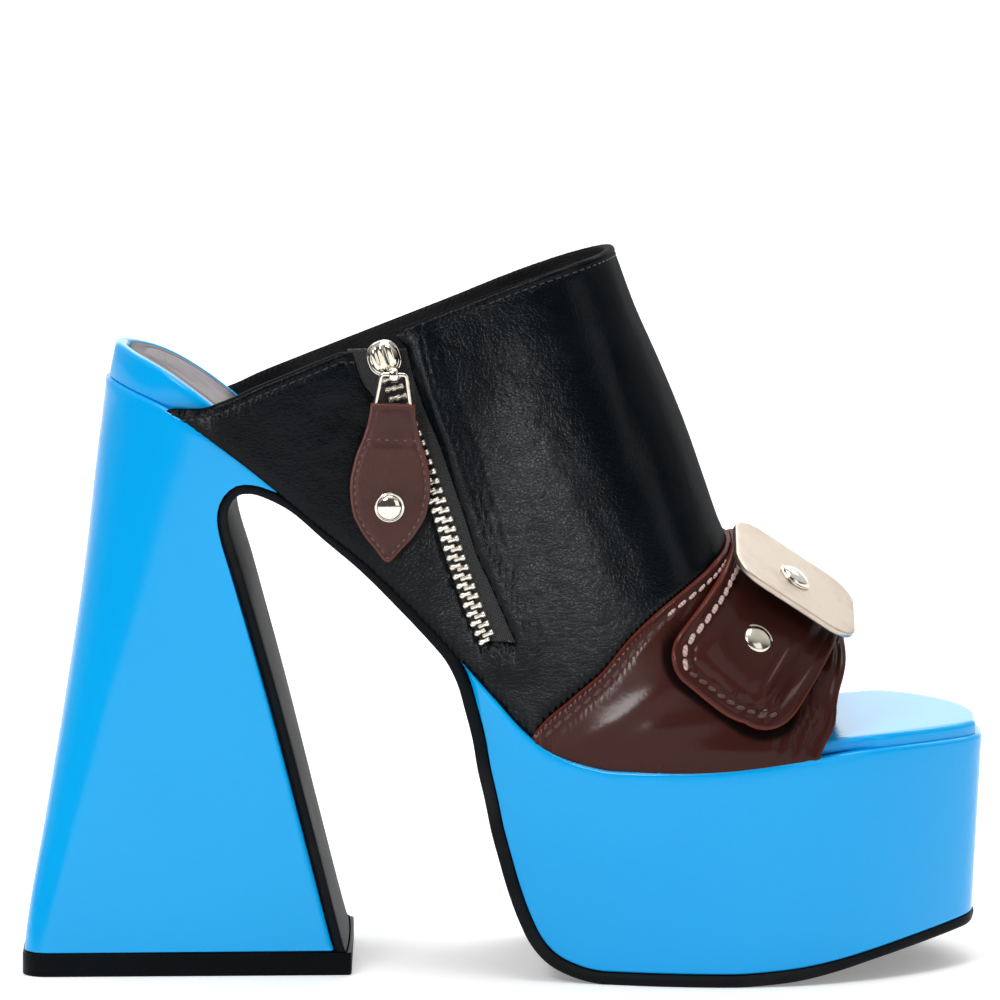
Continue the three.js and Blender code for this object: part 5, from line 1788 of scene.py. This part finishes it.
def buildBuckle():
    place = frameOn(along(plate["at"]), plate["turn"], beltTop + plate["lift"])
    place = place @ Matrix.Rotation(math.radians(plate["pitch"]), 4, "Y")
    outline = roundedLoop(plate["length"], plate["width"], plate["corner"], 14)
    face = plateSolid(outline, plate["thickness"], plate["bevel"], plate["crown"])
    # the lug at the plate's front end bends down from its underside
    halfLug = plate["lug"] / 2
    cornerX = plate["length"] / 2
    middleY = -(plate["width"] / 2 - plate["corner"] - halfLug)
    bend = [
        (-3, 0.8, 0, 1), (-1.6, 0.8, 0, 1), (-0.9, 0.7, 0.35, 0.94), (-0.25, 0.3, 0.75, 0.66),
        (0, -0.4, 1, 0), (0, -1.4, 1, 0), (0, plate["thickness"] - plate["lugDrop"], 1, 0),
    ]
    inner = halfLug - 0.35
    section = [(-halfLug, 0.35), (-inner, 0.7), (inner, 0.7), (halfLug, 0.35)]
    section += [(y, -side) for y, side in reversed(section)]
    lugPoints = []
    for u, w, outX, outZ in bend:
        for y, side in section:
            lugPoints.append((cornerX - 0.1 + u + outX * (side - 0.6), middleY + y, w + outZ * side - 0.1))
    points, faces = joined([face, (lugPoints, cappedFaces(len(bend), len(section)))])
    piece = newPiece("bucklePlate", placed(points, place), faces, [paleGold])
    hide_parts("buckle_plate")
    points, faces = studSolid(stud["radius"], stud["height"])
    top = place @ Matrix.Translation((*plate["studAt"], plate["thickness"] + seam / 2))
    piece = newPiece("plateStud", placed(points, top), faces, [nickel])
    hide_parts("plate_stud")
    x = along(stud["at"])
    turn = float(turnAt(x, stud["rise"] * shoe["seatRise"]))
    piece = newPiece("beltStud", placed(points, frameOn(x, turn, beltTop - 0.1)), faces, [nickel])
    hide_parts("belt_stud")


buildBuckle()
print("buckle ready")


# Zip: its tape, teeth, slider and pull

zipper = dict(
    tapeRecess=0.7, tapeThickness=1.0, chainHalf=2.4, chainProud=0.4, pitch=2.45,
    sliderAt=0.3165, sliderRise=1.034, sliderWidth=8.4, sliderLength=9.0, sliderPlate=1.4, sliderCorner=3.9,
    dome=3.0, domeRadius=4.0, domeRise=0.2, pivotDrop=4.2, pivotProud=3.2, eyeRadius=2.0, eyeHole=1.15,
    eyeWidth=2.4, pivotAhead=1.2,
)


def buildTape():
    rises = np.linspace(zipLine[0][0] - 0.004, zipLine[-1][0] - 0.002, 50)
    lines = []
    for column, sign in ((2, -1), (3, 1)):
        x, z = zipEdge(column, sign, rises)
        x = x + sign * 0.9
        lines.append(np.stack([x, turnAt(x, z) * turnScale], 1))
    back, ahead = lines
    head = np.vstack([back[-1:], ahead[-1:]])
    foot = np.vstack([ahead[:1], back[:1]])
    loop = patternLoop([back, head, ahead[::-1], foot], 1.2)[::-1]
    centreX = along(through(zipLine, 1)(rises))
    middle = np.stack([centreX, turnAt(centreX, rises * shoe["seatRise"]) * turnScale], 1)
    middleLine = onUpper(resample(middle, 0.4), 0)

    def top(plane, distance):
        gap = distanceTo(onUpper(plane, 0), middleLine)
        return -zipper["tapeRecess"] + 0.25 * bump(gap, 2.3, 0.6)

    piece = sewnLeather(
        "zipTape", loop, onUpper, top, -zipper["tapeRecess"] - zipper["tapeThickness"], 1.2,
        (0.3, 0.9), [tapeCloth, tapeCloth], edgeRound=0.3,
    )
    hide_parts("zip_tape")


def toothSolid(side):
    # one tooth: a rounded block that clamps the tape's bead and reaches past the middle
    outerY, innerY = side * zipper["chainHalf"], -side * 0.7
    levels = [
        (outerY, 0.42, 0.6), (outerY * 0.94, 0.72, 0.92), (outerY * 0.74, 0.82, 1.06),
        (outerY * 0.52, 0.7, 0.96), (outerY * 0.34, 0.5, 0.8), (0.0, 0.55, 0.86),
        (innerY * 0.8, 0.56, 0.8), (innerY, 0.36, 0.5),
    ]
    points = []
    for y, long, tall in levels:
        for angle in fullTurn(8, 0.5):
            square = max(abs(math.cos(angle)), abs(math.sin(angle))) ** 0.6
            points.append((long * math.cos(angle) / square, y, tall * math.sin(angle) / square))
    return points, cappedFaces(len(levels), 8)


def buildTeeth():
    # the second row stands half a pitch further along
    rises = np.linspace(zipLine[0][0] + 0.004, zipLine[-1][0] - 0.034, 120)
    x = along(through(zipLine, 1)(rises))
    middle = np.stack([x, turnAt(x, rises * shoe["seatRise"]) * turnScale], 1)
    line = resample(middle, 0.8)
    low = onUpper(line, -0.2)
    ups = onUpper(line, 0.8) - low
    half = zipper["pitch"] / 2
    places = resample(np.hstack([low, ups]), 0.3)
    length = lengthAlong(places[:, :3])
    shifted = np.clip(length + half, 0, length[-1])
    rest = np.stack([np.interp(shifted, length, column) for column in places.T], 1)
    rest = rest[: np.searchsorted(length, length[-1] - half)]
    for name, row, side in (("zipTeeth", places, 1), ("zipTeethOther", rest, -1)):
        tooth = templatePiece(*toothSolid(side))
        lines = [(row[:, :3], row[:, 3:])]
        layRows(name, lines, zipper["pitch"], tooth, toothMetal, scatter=0.01)
        bpy.data.objects.remove(tooth)
    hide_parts("zip_chain")


def sliderPlace():
    x = along(zipper["sliderAt"])
    turn = float(turnAt(x, zipper["sliderRise"] * shoe["seatRise"]))
    place = frameOn(x, turn, zipper["chainProud"] + seam)
    top, following = zipLine[-1], zipLine[-2]
    way = math.atan2((following[1] - top[1]) * shoe["soleLength"], (top[0] - following[0]) * shoe["seatRise"])
    return place, way


def domeSolid(radius, height, ribs):
    # the slider's round crown, with ribs along the zip
    rings, around = 12, 48
    points = [(radius * math.cos(angle), radius * math.sin(angle), 0) for angle in fullTurn(around)]
    for i in range(rings + 1):
        share = 1 - i / rings
        rise = math.sqrt(max(1 - share**2.6, 0))
        for angle in fullTurn(around):
            u, v = share * math.cos(angle), share * math.sin(angle)
            groove = ribs * 0.5 * (1 - math.cos(2 * math.pi * u * radius / 2.3)) * rise * (1 - 0.3 * share)
            points.append((u * radius, v * radius, 0.8 + (height - 0.8) * rise - groove))
    return np.array(points), ringFaces(rings + 2, around) + [tuple(range(around))]


def buildSlider():
    place, way = sliderPlace()
    turned = place @ Matrix.Rotation(way, 4, "Z")
    outline = roundedLoop(zipper["sliderWidth"], zipper["sliderLength"], zipper["sliderCorner"], 8)
    body = plateSolid(outline, zipper["sliderPlate"], 0.4, 0.15)
    dome = domeSolid(zipper["domeRadius"], zipper["dome"], 0.8)
    eye = eyeSolid()
    eyeAt = Vector((
        zipper["pivotDrop"] * math.sin(way) + zipper["pivotAhead"],
        -zipper["pivotDrop"] * math.cos(way),
        zipper["pivotProud"],
    ))
    points, faces = joined([
        (placed(body[0], turned), body[1]),
        (placed(dome[0] + np.array([0, zipper["domeRise"], 0]), turned), dome[1]),
        (placed(eye[0] + np.array(eyeAt), place), eye[1]),
    ])
    piece = newPiece("zipSlider", points, faces, [nickel])
    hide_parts("zip_slider")
    return place @ eyeAt


def eyeSolid():
    # the bridge that holds the bail: a rounded ring about X
    outer, hole, half = zipper["eyeRadius"], zipper["eyeHole"], zipper["eyeWidth"] / 2
    middle, thick = (outer + hole) / 2, (outer - hole) / 2
    rings, sides = 28, 10
    points = []
    for angle in fullTurn(rings):
        for turn in fullTurn(sides):
            reach = middle + thick * math.cos(turn)
            points.append((half * math.sin(turn), reach * math.cos(angle), reach * math.sin(angle)))
    return np.array(points), loopedFaces(rings, sides)


pull = dict(
    bar=1.2, top=3.9, foot=5.0, length=9.0, start=7.2, thickness=2.0, fold=3.0, lean=2,
    studRadius=3.7, studDrop=33.0, hem=1.25, stitchPitch=2.0, bendRadius=0.9,
)
pullOutline = [(7.2, 5.5), (11, 5.9), (15.5, 7), (21, 8.9), (28, 10), (34, 9.3), (39.5, 6.7), (44, 3)]


def buildPull(pivot):
    place = Matrix.Translation(pivot) @ Matrix.Rotation(math.radians(pull["lean"]), 4, "Y")
    loop = []
    inset = pull["bar"] / 2
    top, foot = pull["top"] - inset, pull["foot"] - inset
    low = -pull["length"]
    corner = pull["bendRadius"]
    for cornerX, cornerZ, start in ((top, 0, 0), (-top, 0, 90), (-foot, low, 180), (foot, low, 270)):
        middleX = cornerX - math.copysign(corner, cornerX)
        middleZ = cornerZ - corner if cornerZ == 0 else cornerZ + corner
        for k in range(6):
            angle = math.radians(start + 18 * k)
            loop.append((middleX + corner * math.cos(angle), 0, middleZ + corner * math.sin(angle)))
    fine = resample(np.array(loop + loop[:1]), 0.35)[:-1]
    points, faces = tube(fine, pull["bar"] / 2, 12)
    piece = newPiece("pullBail", placed(points, place), faces, [nickel], "zip_pull")
    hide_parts("pull_bail")

    half = through(pullOutline)
    drops = np.linspace(pull["start"], pullOutline[-1][0], 60)
    right = np.stack([half(drops), drops], 1)
    tip = np.array([[1.2, 46.3], [0.4, 46.9], [-0.4, 46.9], [-1.2, 46.3]])
    left = np.stack([-half(drops), drops], 1)[::-1]
    outline = [right, np.vstack([right[-1:], tip, left[:1]]), left, np.vstack([left[-1:], right[:1]])]
    loop = patternLoop(outline, 0.9)
    rotation = np.array(place.to_3x3())
    origin = np.array(place.translation)

    def onPull(plane, depth):
        depth = np.broadcast_to(np.asarray(depth, float), (len(plane),))
        local = np.stack([plane[:, 0], -depth, -plane[:, 1]], 1)
        return local @ rotation.T + origin

    def thick(plane):
        folded = smooth(plane[:, 1], 13.5, 10.5)
        return (pull["thickness"] + (pull["fold"] - pull["thickness"]) * folded) / 2

    def top(plane, distance):
        depth = thick(plane) - 0.16 * bump(distance, pull["hem"], 0.4) + 0.05
        depth -= 0.28 * bump(plane[:, 1], 17.2, 0.45) * smooth(distance, 0.5, 1.5)
        depth += 0.14 * bump(plane[:, 1], 18.6, 0.8)
        return depth

    def back(plane, distance):
        return -thick(plane) + roundedEdge(distance, 0.6)

    piece = sewnLeather(
        "pullTab", loop, onPull, top, back, 0.9, (0.06, 0.2, 0.45, 0.8, 1.3, 1.7, 2.1, 2.7),
        [pullLeather, pullLeather], "zip_pull", edgeRound=0.6,
    )
    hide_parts("pull_tab")
    stitch = templatePiece(*capsule(1.0, 0.36, 0.08))
    border = resample(np.vstack([right[14:], tip, left[:-14]]), 0.8)
    row = insetLine(border, pull["hem"], onPull, closed=False)
    across = np.stack([np.linspace(-5.6, 5.6, 16), np.full(16, 16.2)], 1)
    lines = []
    for line in (row, across):
        low = onPull(line, pull["thickness"] / 2 - 0.1)
        lines.append((low, np.tile(rotation @ np.array([0, -1, 0]), (len(line), 1))))
    pitch = pull["stitchPitch"]
    layRows("pullStitches", lines, pitch, stitch, tanThread, "zip_pull")
    bpy.data.objects.remove(stitch)

    points, faces = studSolid(pull["studRadius"], stud["height"])
    seat = place @ Matrix.Rotation(math.pi / 2, 4, "X")
    seat = seat @ Matrix.Translation((0, -pull["studDrop"], pull["thickness"] / 2 + 0.05))
    piece = newPiece("pullStud", placed(points, seat), faces, [nickel], "zip_pull")
    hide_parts("pull_stud")


buildTape()
buildTeeth()
buildPull(buildSlider())
print("zip ready")
